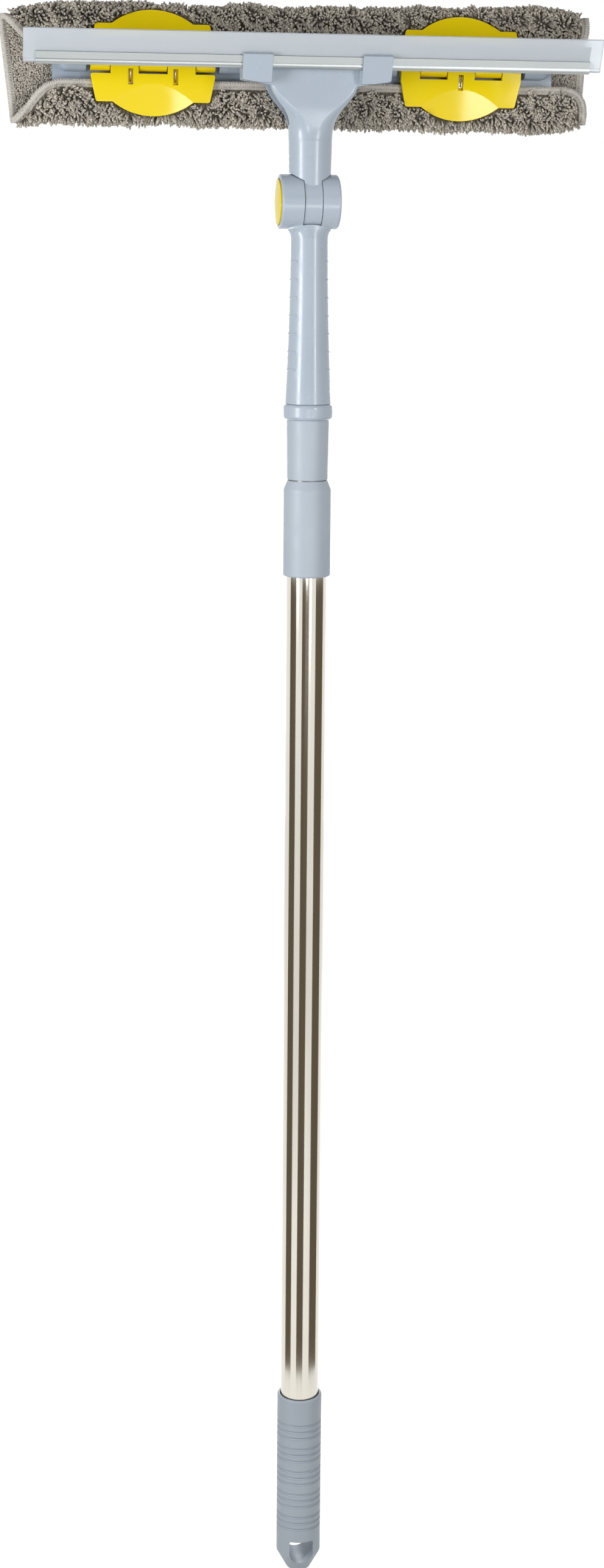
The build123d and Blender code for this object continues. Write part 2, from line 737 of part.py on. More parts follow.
def lock_spring():
    """Compression spring that pushes the clutch plug into its seat."""
    radius = lock_spring_radius - LOCK_SPRING_WIRE / 2
    margin = LOCK_SPRING_WIRE / 2 + PRESS_GAP
    start = plug_end - LOCK_SPRING_POCKET + margin
    end = ear_side + LOCK_SPRING_SEAT - margin
    rate = (end - start) / (2 * pi * LOCK_SPRING_TURNS)

    def place(step):
        angle = step * pi / 2
        return Vector(start + rate * angle, -radius * cos(angle), pivot_z + radius * sin(angle))

    def heading(step):
        angle = step * pi / 2
        return Vector(rate, radius * sin(angle), radius * cos(angle)).normalized()

    edges = []
    for step in range(4 * LOCK_SPRING_TURNS):
        edges += biarc(place(step), heading(step), place(step + 1), heading(step + 1))
    print("lock_spring least gap to itself", round(least_gap(edges, LOCK_SPRING_WIRE), 2), "mm")
    return wire_along(edges, LOCK_SPRING_WIRE)


def rounded_section(level, width, front, back, corner):
    """A level section of the head bracket, as a rounded rectangle."""
    return Pos(0, (back - front) / 2, level) * RectangleRounded(width, front + back, corner)


def neck_section(rise):
    """A round section of the neck at a height over the pivot."""
    radius = NECK_FOOT_DIAMETER / 2 + NECK_FLARE * rise / NECK_RISE
    return rounded_section(pivot_z + rise, 2 * radius, radius, radius, radius * FULL_ROUND)


def head_fan():
    """Neck and fan: round at the neck, then widening into a front and a rear plate."""
    face = FRONT_PLATE_FACE
    back = REAR_PLATE_FACE
    fan = loft([neck_section(0), neck_section(NECK_RISE)], ruled=True)
    fan += loft(
        [
            neck_section(NECK_RISE),
            rounded_section(
                waist_z, waist_width, neck_top + FAN_WAIST_SWELL, (neck_top + back) / 2, FAN_WAIST_CORNER
            ),
            rounded_section(
                flank_z, flank_width, face - FAN_FLANK_EASE, back + FAN_FLANK_EASE, FAN_FLANK_CORNER
            ),
            rounded_section(broad_z, broad_width, face, back, FAN_BROAD_CORNER),
            rounded_section(front_plate_top, fan_width, face, back, FAN_TOP_CORNER),
            rounded_section(rear_plate_top, fan_width, face, back, FAN_TOP_CORNER),
        ]
    )
    top = rear_plate_top + CUT_OVER
    gap = (
        (front_plate_back, flank_z),
        ((front_plate_back + rear_plate_front) / 2, flank_z - FAN_GAP_DEPTH, FAN_GAP_ROUND),
        (rear_plate_front, flank_z),
        (rear_plate_front, top),
        (front_plate_back, top),
    )
    half_web = FAN_WEB / 2
    for x0, x1 in ((-fan_width, -half_web), (half_web, fan_width)):
        fan -= side_prism(x0, x1, *gap)
    fan -= block(-fan_width, fan_width, -2 * face, rear_plate_front, front_plate_top, top)
    return fan - block(-fan_width, fan_width, back, 2 * back, broad_z, top)


def rail_clip():
    """The right clip, which wraps the rail's front and carries it on the front plate."""
    bore = bead_radius + SLIDE_GAP
    front = -bore - CLIP_FRONT_WALL
    top = rail_lip_top + CLIP_OVER_LIP
    jaw = rail_prism(strip(front, bore + CLIP_REAR_WALL, -CLIP_DROP, top), clip_inner, clip_outer)
    start = clip_inner - LAP
    arm = block(start, clip_outer, -FRONT_PLATE_FACE, front_plate_back, clip_foot, front_plate_top)
    toe = rail_point(front, -CLIP_DROP)
    bridge = side_prism(
        clip_inner,
        clip_outer,
        toe,
        (front_plate_back, toe[1]),
        (front_plate_back, front_plate_top),
        rail_point(bead_radius, 0),
    )
    high = rail_z + top + CLIP_DROP
    silhouette = front_prism(
        2 * rail_y,
        0,
        (start, clip_foot),
        (clip_outer, clip_foot + CLIP_SLOPE, CLIP_ROUND),
        (clip_outer, high),
        (start, high),
    )
    slot = (
        Pos(0, bead_radius) * Circle(bore)
        + strip(-rail_half - SLIDE_GAP, rail_half + SLIDE_GAP, bead_radius, rail_lip_top + SLIDE_GAP)
        + strip(-rail_slot, rail_half + SLIDE_GAP, bead_radius, top + CUT_OVER)
    )
    return ((jaw + arm + bridge) & silhouette) - rail_prism(slot, start - CUT_OVER, clip_outer + CUT_OVER)


def head_bracket():
    """The head moulding: knuckle, neck, fan, rail clips and bosses for the pad frame."""
    head = head_fan()
    for x0, x1 in ((-EAR_DIAMETER, -knuckle_side), (knuckle_side, EAR_DIAMETER)):
        head -= rod_on_x(ear_radius + 2 * SWING_GAP, x0, x1)
    head += rod_on_x(ear_radius - KNUCKLE_STEP, -knuckle_side, knuckle_side)
    shelf = BUTTON_TRAVEL + 2 * SWING_GAP - ear_side
    head -= rod_on_x(plug_end_radius + SWING_GAP, -knuckle_side - CUT_OVER, shelf)
    head -= hex_on_pivot(plug_hex_flats + 2 * SLIDE_GAP, shelf - CUT_OVER, knuckle_side + CUT_OVER)
    clip = rail_clip()
    head += clip
    head += mirror(clip, about=Plane.YZ)
    for x in (-FRAME_SCREW_OFFSET, FRAME_SCREW_OFFSET):
        head += rod_on_y(screw_radius + SCREW_BOSS_WALL, boss_front, REAR_PLATE_FACE, x, clamp_z)
        head -= frame_screw_hole(x)
    return head


def frame_screw_hole(x):
    """The pilot hole for one frame screw, from the pad frame into the head's boss."""
    return rod_on_y(screw_radius + PRESS_GAP, screw_end - SWING_GAP, frame_back, x, clamp_z)


def frame_screws():
    """Two screws from behind the pad frame into the head."""
    seat = frame_back - FRAME_SCREW_HEAD_HEIGHT
    screws = []
    for x in (-FRAME_SCREW_OFFSET, FRAME_SCREW_OFFSET):
        shank = rod_on_y(screw_radius, screw_end, seat, x, clamp_z)
        screws.append(shank + rod_on_y(screw_head_radius, seat, frame_back, x, clamp_z))
    return Compound(children=screws)


def blade_rail():
    """Aluminium rail: a bead round the blade's bulb, a front lip and a tall rear flange."""
    section = (
        Pos(0, bead_radius) * Circle(bead_radius)
        + strip(-rail_half, -rail_slot, bead_radius, rail_lip_top)
        + strip(rail_slot, rail_half, bead_radius, rail_flange_top)
    )
    section -= Pos(0, bead_radius) * Circle(bulb_radius + SLIDE_GAP)
    section -= strip(-rail_slot, rail_slot, bead_radius, rail_flange_top)
    return rail_prism(section, -RAIL_LENGTH / 2, RAIL_LENGTH / 2)


def squeegee_blade():
    """Silicone blade with a bulb along its foot."""
    half_length = RAIL_LENGTH / 2 + BLADE_OVERHANG
    sheet = strip(-blade_half, blade_half, bead_radius, blade_top)
    bulb = Pos(0, bead_radius) * Circle(bulb_radius)
    return rail_prism(sheet + bulb, -half_length, half_length)


def pad_frame():
    """Plate behind the cloth's lips, with lugs for the clamp pins and a block for the screws."""
    low = clamp_z - FRAME_HEIGHT / 2
    high = clamp_z + FRAME_HEIGHT / 2
    frame = front_prism(
        frame_front,
        frame_back,
        (-frame_half, low, FRAME_CORNER),
        (frame_half, low, FRAME_CORNER),
        (frame_half, high, FRAME_CORNER),
        (-frame_half, high, FRAME_CORNER),
    )
    middle = lug_start + LAP
    frame += block(-middle, middle, REAR_PLATE_FACE, frame_front, clamp_z - lug_radius, clamp_z + lug_radius)
    for side in (-1, 1):
        frame += lug(side * lug_start, side * inner_lug_face, 0)
        frame += lug(side * outer_lug_face, side * outer_lug_end, side)
    for side in (-1, 1):
        frame -= clamp_pin(side, PRESS_GAP)
        x = side * FRAME_SCREW_OFFSET
        frame -= frame_screw_hole(x)
        frame -= rod_on_y(
            screw_head_radius + PRESS_GAP, frame_back - FRAME_SCREW_HEAD_HEIGHT, frame_back, x, clamp_z
        )
    return frame


def lug(start, end, round_end):
    """A half barrel on the plate round a clamp pin, with a ball end where it has one."""
    low = min(start, end)
    high = max(start, end)
    if round_end > 0:
        high -= lug_radius
    if round_end < 0:
        low += lug_radius
    barrel = rod_on_x(lug_radius, low, high, clamp_y, clamp_z)
    barrel += block(low, high, clamp_y, frame_front, clamp_z - lug_radius, clamp_z + lug_radius)
    if round_end:
        ball = high if round_end > 0 else low
        barrel += Pos(ball, clamp_y, clamp_z) * Sphere(lug_radius)
        barrel += rod_on_y(lug_radius, clamp_y, frame_front, ball, clamp_z)
    return barrel


def clamp_pin(side, grow=0):
    """The steel pin of one clamp, or the space for it when grown."""
    reach = FLAP_WIDTH / 2 + LUG_GAP + PIN_GRIP + grow
    centre = side * clamp_x
    return rod_on_x(pin_radius + grow, centre - reach, centre + reach, clamp_y, clamp_z)


def clamp_place(side, upper):
    """The place of a flap's own frame: hinge at its origin, the flap hanging down."""
    place = Pos(side * clamp_x, clamp_y, clamp_z)
    return place * Rot(0, 180, 0) if upper else place


def flap_plane():
    """The flap's plan: x along the hinge, y down the flap, z towards the front."""
    lean = radians(FLAP_LEAN)
    return Plane(origin=(0, 0, 0), x_dir=(-1, 0, 0), z_dir=(0, -cos(lean), -sin(lean)))


def flap_outline(grow=0):
    """The flap's plan outline, with its arc along the free edge."""
    root = flap_root - grow
    wide = FLAP_WIDTH / 2 + grow
    shoulder = wide - FLAP_SHOULDER_DRAW
    reach = flap_reach + grow
    plate = outline(
        (-wide, root, FLAP_CORNER),
        (wide, root, FLAP_CORNER),
        (shoulder, reach, FLAP_CORNER),
        (-shoulder, reach, FLAP_CORNER),
    )
    chord = FLAP_ARC_CHORD / 2 + grow
    radius = (chord * chord + FLAP_ARC_RISE * FLAP_ARC_RISE) / (2 * FLAP_ARC_RISE)
    disc = Pos(0, reach + FLAP_ARC_RISE - radius) * Circle(radius)
    below = Pos(0, reach + (FLAP_ARC_RISE - LAP) / 2) * Rectangle(2 * chord, FLAP_ARC_RISE + LAP)
    return plate + (disc & below)


def knuckle_spans(kind):
    """The spans along the hinge that one kind of flap's knuckles fill."""
    middle = FLAP_KNUCKLE_LENGTH / 2
    outer = 3 * middle
    end = FLAP_WIDTH / 2
    if kind == "two":
        spans = [(-outer, -middle), (middle, outer)]
    else:
        spans = [(-end, -outer), (-middle, middle), (outer, end)]
    return spans


def flap_scoop():
    """The wide shallow cylinder that scoops the flap's face for a finger, in its plan."""
    width = FLAP_ARC_CHORD / 2
    slope = asin(FLAP_SCOOP_SLOPE)
    radius = width * width / (2 * FLAP_SCOOP_SLOPE * (flap_reach - FLAP_SCOOP_REACH))
    lift = flap_radius + radius / cos(slope) + FLAP_SCOOP_SLOPE * FLAP_SCOOP_REACH
    return Pos(0, 0, lift) * Rot(-90 - degrees(slope), 0, 0) * Cylinder(radius, 4 * flap_arc_reach)


def clamp_flap(kind):
    """One yellow flap in its own frame, with knuckles, slots and the finger scoop."""
    plane = flap_plane()
    flap = extrude(plane.offset(flap_back) * flap_outline(), amount=FLAP_THICKNESS)
    flap -= plane.location * flap_scoop()
    half_gap = FLAP_KNUCKLE_GAP / 2
    for start, end in knuckle_spans(kind):
        inner = start + half_gap
        outer = end - half_gap
        flap += rod_on_x(flap_radius, inner, outer, 0, 0)
        root = Pos((inner + outer) / 2, (flap_root + LAP) / 2) * Rectangle(outer - inner, flap_root + LAP)
        flap += extrude(plane.offset(flap_back) * root, amount=FLAP_THICKNESS)
    other = "three" if kind == "two" else "two"
    for start, end in knuckle_spans(other):
        flap -= rod_on_x(flap_radius + FLAP_KNUCKLE_GAP, start - half_gap, end + half_gap, 0, 0)
    flap -= rod_on_x(pin_radius + PRESS_GAP, -FLAP_WIDTH, FLAP_WIDTH, 0, 0)
    cavity = FLAP_SLOT_OFFSET + FLAP_SLOT_WIDTH / 2
    flap -= rod_on_x(coil_space, -cavity, cavity, 0, 0)
    floor = coil_radius - SPRING_WIRE / 2 - SLIDE_GAP
    for x in (-FLAP_SLOT_OFFSET, FLAP_SLOT_OFFSET) if kind == "two" else (0,):
        slot = Pos(x, FLAP_SLOT_START + FLAP_SLOT_LENGTH / 2) * Rectangle(FLAP_SLOT_WIDTH, FLAP_SLOT_LENGTH)
        flap -= extrude(plane.offset(floor) * slot, amount=flap_radius)
        channel = Pos(x, FLAP_SLOT_START / 2) * Rectangle(FLAP_SLOT_WIDTH, FLAP_SLOT_START)
        flap -= extrude(plane.offset(floor) * channel, amount=SPRING_WIRE + 2 * SLIDE_GAP)
    return flap


def clamp_spring():
    """Double torsion spring round the pin, with two end legs and a middle loop."""
    lean = radians(FLAP_LEAN)
    total = 2 * pi * SPRING_TURNS + 2 * lean
    loop = SPRING_LOOP_RADIUS
    leg = slot_end - SPRING_TIP_GAP
    steps = 4 * SPRING_TURNS
    rate = (FLAP_SLOT_OFFSET - loop) / total

    def place(step):
        turn = total * step / steps
        angle = turn - lean
        return Vector(rate * turn - FLAP_SLOT_OFFSET, -coil_radius * cos(angle), coil_radius * sin(angle))

    def heading(step):
        angle = total * step / steps - lean
        drift = 0 if step in (0, steps) else rate
        return Vector(drift, coil_radius * sin(angle), coil_radius * cos(angle)).normalized()

    coil_end = place(steps)
    loop_start = coil_end + heading(steps) * (leg - loop)
    edges = [Line(place(0) - heading(0) * leg, place(0))]
    for step in range(steps):
        edges += biarc(place(step), heading(step), place(step + 1), heading(step + 1))
    edges.append(Line(coil_end, loop_start))
    crown = loop_start + heading(steps) * loop
    edges.append(TangentArc(loop_start, Vector(0, crown.Y, crown.Z), tangent=heading(steps)))
    print("clamp_spring least gap to itself", round(least_gap(edges, SPRING_WIRE), 2), "mm")
    one_side = wire_along(edges, SPRING_WIRE)
    return one_side + mirror(one_side, about=Plane.YZ)


def cloth_pad():
    """Looped cloth folded round the frame, pressed in under the flaps and the head."""
    inside = FRAME_HEIGHT / 2 + CLOTH_GAP
    low = clamp_z - inside - CLOTH_FOLD
    high = clamp_z + inside + CLOTH_FOLD
    x0 = CLOTH_SHIFT - frame_half - CLOTH_OVERHANG
    x1 = CLOTH_SHIFT + frame_half + CLOTH_OVERHANG
    front = frame_front - CLOTH_LIP
    back = frame_back + CLOTH_BACK
    cloth = side_prism(
        x0,
        x1,
        (front, low, CLOTH_ROUND),
        (back, low, CLOTH_ROUND),
        (back, high, CLOTH_ROUND),
        (front, high, CLOTH_ROUND),
    )
    start = x0 - CUT_OVER
    end = x1 + CUT_OVER
    outside = front - CUT_OVER
    edge = lug_radius + CLOTH_EDGE_GAP
    cloth -= block(
        start, end, frame_front - CLOTH_GAP, frame_back + CLOTH_GAP, clamp_z - inside, clamp_z + inside
    )
    cloth -= block(start, end, outside, frame_front, clamp_z - edge, clamp_z + edge)
    press = flap_plane().offset(flap_back - CLOTH_GAP)
    pocket = extrude(press * flap_outline(CLOTH_POCKET), amount=CLOTH_LIP + CLOTH_BACK)
    for side in (-1, 1):
        for upper in (False, True):
            cloth -= clamp_place(side, upper) * pocket
    half = fan_width / 2 + CLOTH_HEAD_ROOM
    bottom = low - CUT_OVER
    passing = REAR_PLATE_FACE + CLOTH_GAP
    cloth -= side_prism(
        -half,
        half,
        (outside, bottom),
        (neck_top + CLOTH_GAP, bottom),
        (passing + CLOTH_FLANK_ROOM, flank_z),
        (passing, broad_z),
        (passing, clamp_z),
        (outside, clamp_z),
    )
    return cloth - block(-half, half, outside, passing, clamp_z, rear_plate_top + CLOTH_GAP)


parts = {
    "pole_grip": pole_grip(),
    "outer_tube": outer_tube(),
    "lock_sleeve": lock_sleeve(),
    "inner_tube": inner_tube(),
    "lock_core": lock_core(),
    "lock_ring": lock_ring(),
    "top_connector": top_connector(),
    "handle_collar": handle_collar(),
    "short_handle": short_handle(),
    "lock_button": lock_button(),
    "lock_plug": lock_plug(),
    "lock_spring": lock_spring(),
    "pivot_bolt": pivot_bolt(),
    "pivot_nut": pivot_nut(),
    "head_bracket": head_bracket(),
    "frame_screws": frame_screws(),
    "blade_rail": blade_rail(),
    "squeegee_blade": squeegee_blade(),
    "pad_frame": pad_frame(),
    "cloth_pad": cloth_pad(),
}

flap_kinds = {"two": clamp_flap("two"), "three": clamp_flap("three")}
spring = clamp_spring()
for name, side, lower_kind, upper_kind in (("left", -1, "two", "three"), ("right", 1, "three", "two")):
    parts[name + "_lower_flap"] = clamp_place(side, False) * flap_kinds[lower_kind]
    parts[name + "_upper_flap"] = clamp_place(side, True) * flap_kinds[upper_kind]
    parts[name + "_clamp_pin"] = clamp_pin(side)
    parts[name + "_clamp_spring"] = clamp_place(side, side > 0) * spring

os.makedirs("parts", exist_ok=True)
for name, shape in parts.items():
    export_step(shape, "parts/" + name + ".step")
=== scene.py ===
"""Looks of a window squeegee on a telescopic pole: finishes, looped cloth, springs, studio and camera."""

import math

import bpy
import numpy as np
from mathutils import Matrix, Vector
from mathutils.bvhtree import BVHTree


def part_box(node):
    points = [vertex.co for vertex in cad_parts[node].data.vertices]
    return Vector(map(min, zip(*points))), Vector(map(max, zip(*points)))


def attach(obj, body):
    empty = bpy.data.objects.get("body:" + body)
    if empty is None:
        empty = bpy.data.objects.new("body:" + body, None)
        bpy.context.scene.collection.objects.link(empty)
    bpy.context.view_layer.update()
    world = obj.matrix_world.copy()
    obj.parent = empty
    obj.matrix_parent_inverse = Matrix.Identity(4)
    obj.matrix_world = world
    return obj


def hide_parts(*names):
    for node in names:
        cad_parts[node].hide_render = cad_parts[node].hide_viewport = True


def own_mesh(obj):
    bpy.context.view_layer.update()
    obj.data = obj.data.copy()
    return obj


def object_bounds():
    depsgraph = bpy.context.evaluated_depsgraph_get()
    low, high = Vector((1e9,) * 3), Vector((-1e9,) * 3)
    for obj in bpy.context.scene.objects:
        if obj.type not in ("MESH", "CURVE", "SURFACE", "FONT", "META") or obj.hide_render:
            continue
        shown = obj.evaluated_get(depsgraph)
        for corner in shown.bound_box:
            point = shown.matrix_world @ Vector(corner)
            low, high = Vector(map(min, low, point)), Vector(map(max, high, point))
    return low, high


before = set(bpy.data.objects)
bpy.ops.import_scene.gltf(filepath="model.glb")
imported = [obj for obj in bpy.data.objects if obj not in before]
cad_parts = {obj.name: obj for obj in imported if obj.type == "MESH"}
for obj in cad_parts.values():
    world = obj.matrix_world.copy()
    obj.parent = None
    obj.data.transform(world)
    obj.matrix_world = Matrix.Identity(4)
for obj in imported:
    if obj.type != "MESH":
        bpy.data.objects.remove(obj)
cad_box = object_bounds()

MM = 0.001

# The photograph's frame and how its camera stood
IMAGE_HEIGHT = 2576
SENSOR = 36.0
FOCAL_PIXELS = 3950
CAMERA_AZIMUTH = -10.0
CAMERA_ELEVATION = 13.0
CAMERA_ROLL = 0.5
CAMERA_DISTANCE = 1336 * MM
AIM_HEIGHT = 418.7 * MM
AIM_PIXELS_RIGHT = 4.4


def linear(code):
    """The linear colour of an sRGB hex value."""
    channels = [int(code[i : i + 2], 16) / 255 for i in (1, 3, 5)]
    return tuple(c / 12.92 if c <= 0.04045 else ((c + 0.055) / 1.055) ** 2.4 for c in channels) + (1.0,)


def add(tree, kind, inputs=None, **settings):
    """A new node with its settings; inputs are values, or sockets to link, by socket name or number."""
    node = tree.nodes.new(kind)
    for name, value in settings.items():
        setattr(node, name, value)
    for name, value in (inputs or {}).items():
        if isinstance(value, bpy.types.NodeSocket):
            tree.links.new(value, node.inputs[name])
        else:
            node.inputs[name].default_value = value
    return node


def new_material(name):
    """An empty material with its node tree and its output node."""
    material = bpy.data.materials.new(name)
    material.use_nodes = True
    tree = material.node_tree
    tree.nodes.clear()
    return material, tree, add(tree, "ShaderNodeOutputMaterial")


# Finishes. The moulds' grain and the metals' drawing lines are coarser than life, too fine to show otherwise.
# Sockets of a colour mix by number: 0 is its factor, 6 and 7 its colours, and output 2 its result.
NOISE_LOW = 0.3
NOISE_HIGH = 0.7
FLOW_PATCH = 38 * MM
HANDLED_PATCH = 9 * MM
PLASTIC_IOR = 1.52
EDGE_SAMPLES = 6
LINE_SQUEEZE = 0.004
POLISH_PATCH = 30 * MM
POLISH_FINEST = 0.75
POLISH_COARSEST = 1.3
STREAK_LENGTH = 60 * MM
STREAK_WIDTH = 4 * MM
SILICONE_GLOSS = 0.30
SILICONE_ROUGH = 0.42
SILICONE_IOR = 1.41
SILICONE_CLEAR = 0.40
# Where the painted shade at a loop's root ends and its pale end begins, as shares of its length
YARN_ROOT_SHADE_END = 0.1
YARN_TIP_START = 0.9
YARN_DARKEST = 0.62
YARN_LIGHTEST = 1.14
# Painted shade in the twist's furrows and painted light on its crests: how dark and how light they make the
# yarn
FURROW_DARK = 0.82
FURROW_LIGHT = 1.05
KNIT_STITCH = 1.1 * MM
KNIT_WAVE = 6.28 * KNIT_STITCH
KNIT_DEPTH = 0.4 * MM
THREAD_FUZZ = 0.6 * MM
THREAD_FUZZ_DEPTH = 0.25 * MM


def moulded_plastic(name, colour, shade, gloss, rough, grain, grain_depth, edge, specular=0.5):
    """Injection-moulded plastic: flow marks in its colour, a fine tool grain and softly broken edges."""
    material, tree, output = new_material(name)
    place = add(tree, "ShaderNodeTexCoord").outputs["Object"]
    flow = add(tree, "ShaderNodeTexNoise", {"Vector": place, "Scale": 1 / FLOW_PATCH, "Detail": 3.0})
    mix = {0: flow.outputs["Fac"], 6: linear(shade), 7: linear(colour)}
    tone = add(tree, "ShaderNodeMix", mix, data_type="RGBA")
    handled = add(tree, "ShaderNodeTexNoise", {"Vector": place, "Scale": 1 / HANDLED_PATCH, "Detail": 5.0})
    sheen = add(
        tree,
        "ShaderNodeMapRange",
        {
            "Value": handled.outputs["Fac"],
            "From Min": NOISE_LOW,
            "From Max": NOISE_HIGH,
            "To Min": gloss,
            "To Max": rough,
        },
    )
    tooled = add(tree, "ShaderNodeTexNoise", {"Vector": place, "Scale": 1 / grain, "Detail": 2.0})
    edges = add(tree, "ShaderNodeBevel", {"Radius": edge}, samples=EDGE_SAMPLES)
    bump = add(
        tree,
        "ShaderNodeBump",
        {
            "Height": tooled.outputs["Fac"],
            "Distance": grain_depth,
            "Strength": 1.0,
            "Normal": edges.outputs["Normal"],
        },
    )
    shader = add(
        tree,
        "ShaderNodeBsdfPrincipled",
        {
            "Base Color": tone.outputs[2],
            "Roughness": sheen.outputs["Result"],
            "Normal": bump.outputs["Normal"],
            "IOR": PLASTIC_IOR,
            "Specular IOR Level": specular,
        },
    )
    tree.links.new(shader.outputs["BSDF"], output.inputs["Surface"])
    return material


def drawn_metal(name, colour, shade, rough, line, along, depth):
    """Metal with fine lines along the way it was drawn or extruded, and slight unevenness of polish."""
    material, tree, output = new_material(name)
    place = add(tree, "ShaderNodeTexCoord").outputs["Object"]
    stretch = [1 / line] * 3
    stretch["XYZ".index(along)] *= LINE_SQUEEZE
    turned = add(tree, "ShaderNodeMapping", {"Vector": place, "Scale": stretch})
    lines = add(tree, "ShaderNodeTexNoise", {"Vector": turned.outputs["Vector"], "Scale": 1.0, "Detail": 3.0})
    cloud = add(tree, "ShaderNodeTexNoise", {"Vector": place, "Scale": 1 / POLISH_PATCH, "Detail": 4.0})
    mix = {0: cloud.outputs["Fac"], 6: linear(shade), 7: linear(colour)}
    tone = add(tree, "ShaderNodeMix", mix, data_type="RGBA")
    polish = add(
        tree,
        "ShaderNodeMapRange",
        {
            "Value": lines.outputs["Fac"],
            "From Min": NOISE_LOW,
            "From Max": NOISE_HIGH,
            "To Min": rough * POLISH_FINEST,
            "To Max": rough * POLISH_COARSEST,
        },
    )
    bump = add(tree, "ShaderNodeBump", {"Height": lines.outputs["Fac"], "Distance": depth, "Strength": 1.0})
    shader = add(
        tree,
        "ShaderNodeBsdfPrincipled",
        {
            "Base Color": tone.outputs[2],
            "Metallic": 1.0,
            "Roughness": polish.outputs["Result"],
            "Normal": bump.outputs["Normal"],
        },
    )
    tree.links.new(shader.outputs["BSDF"], output.inputs["Surface"])
    return material


def milky_silicone():
    """Cast silicone rubber: milky, lets a blurred picture of what is behind through, faint flow streaks."""
    material, tree, output = new_material("silicone_rubber_cast")
    place = add(tree, "ShaderNodeTexCoord").outputs["Object"]
    stretch = (1 / STREAK_LENGTH, 1 / STREAK_WIDTH, 1 / STREAK_WIDTH)
    streaks = add(tree, "ShaderNodeMapping", {"Vector": place, "Scale": stretch})
    flow = add(tree, "ShaderNodeTexNoise", {"Vector": streaks.outputs["Vector"], "Scale": 1.0, "Detail": 3.0})
    mix = {0: flow.outputs["Fac"], 6: linear("#D9E1E8"), 7: linear("#E0E5EA")}
    tone = add(tree, "ShaderNodeMix", mix, data_type="RGBA")
    skin = add(
        tree,
        "ShaderNodeMapRange",
        {
            "Value": flow.outputs["Fac"],
            "From Min": NOISE_LOW,
            "From Max": NOISE_HIGH,
            "To Min": SILICONE_GLOSS,
            "To Max": SILICONE_ROUGH,
        },
    )
    shader = add(
        tree,
        "ShaderNodeBsdfPrincipled",
        {
            "Base Color": tone.outputs[2],
            "Roughness": skin.outputs["Result"],
            "IOR": SILICONE_IOR,
            "Transmission Weight": SILICONE_CLEAR,
        },
    )
    tree.links.new(shader.outputs["BSDF"], output.inputs["Surface"])
    return material


def looped_yarn(name, tip, root, twist):
    """Microfibre chenille yarn: pale ends over roots darkened as painted shade, the lay of its twist as
    painted shade in its furrows, and a soft sheen of fibres.
    """
    material, tree, output = new_material(name)
    tint = add(tree, "ShaderNodeAttribute", attribute_name="tint").outputs["Fac"]
    along = add(tree, "ShaderNodeAttribute", attribute_name="along").outputs["Fac"]
    around = add(tree, "ShaderNodeAttribute", attribute_name="around").outputs["Fac"]
    # Darker towards the roots: painted shade for the shadow down among the loops
    reach = {"Value": along, "From Min": YARN_ROOT_SHADE_END, "From Max": YARN_TIP_START}
    depth = add(tree, "ShaderNodeMapRange", reach)
    mix = {0: depth.outputs["Result"], 6: linear(root), 7: linear(tip)}
    tone = add(tree, "ShaderNodeMix", mix, data_type="RGBA")
    varied = add(tree, "ShaderNodeMapRange", {"Value": tint, "To Min": YARN_DARKEST, "To Max": YARN_LIGHTEST})
    # Darker along the furrows of the twist and lighter on its crests: painted shade and painted light for the
    # grooves between the yarn's plies
    lay = add(tree, "ShaderNodeMath", {0: along, 1: 2 * math.pi * twist, 2: around}, operation="MULTIPLY_ADD")
    ply = add(tree, "ShaderNodeMath", {0: lay.outputs["Value"]}, operation="SINE")
    wave = {"Value": ply.outputs["Value"], "From Min": -1.0, "To Min": FURROW_DARK, "To Max": FURROW_LIGHT}
    furrow_shade = add(tree, "ShaderNodeMapRange", wave)
    shares = {0: varied.outputs["Result"], 1: furrow_shade.outputs["Result"]}
    both = add(tree, "ShaderNodeMath", shares, operation="MULTIPLY")
    shaded = {0: tone.outputs[2], "Scale": both.outputs["Value"]}
    colour = add(tree, "ShaderNodeVectorMath", shaded, operation="SCALE")
    shader = add(
        tree,
        "ShaderNodeBsdfPrincipled",
        {
            "Base Color": colour.outputs["Vector"],
            "Roughness": 0.9,
            "Sheen Weight": 0.25,
            "Sheen Roughness": 0.5,
            "Specular IOR Level": 0.15,
        },
    )
    tree.links.new(shader.outputs["BSDF"], output.inputs["Surface"])
    return material


def knitted_backing():
    """Knitted polyester ground of the cloth: rows of small stitches about a millimetre apart."""
    material, tree, output = new_material("polyester_knit_backing")
    place = add(tree, "ShaderNodeTexCoord").outputs["Object"]
    wave = {"Vector": place, "Scale": 1 / KNIT_WAVE, "Distortion": 2.0}
    rows = add(tree, "ShaderNodeTexWave", wave, bands_direction="X")
    spots = add(tree, "ShaderNodeTexVoronoi", {"Vector": place, "Scale": 1 / KNIT_STITCH})
    shares = {0: rows.outputs["Fac"], 1: spots.outputs["Distance"]}
    weave = add(tree, "ShaderNodeMath", shares, operation="MULTIPLY").outputs["Value"]
    mix = {0: weave, 6: linear("#5C554B"), 7: linear("#8F887D")}
    tone = add(tree, "ShaderNodeMix", mix, data_type="RGBA")
    bump = add(tree, "ShaderNodeBump", {"Height": weave, "Distance": KNIT_DEPTH, "Strength": 1.0})
    shader = add(
        tree,
        "ShaderNodeBsdfPrincipled",
        {
            "Base Color": tone.outputs[2],
            "Roughness": 0.95,
            "Normal": bump.outputs["Normal"],
            "Specular IOR Level": 0.1,
        },
    )
    tree.links.new(shader.outputs["BSDF"], output.inputs["Surface"])
    return material


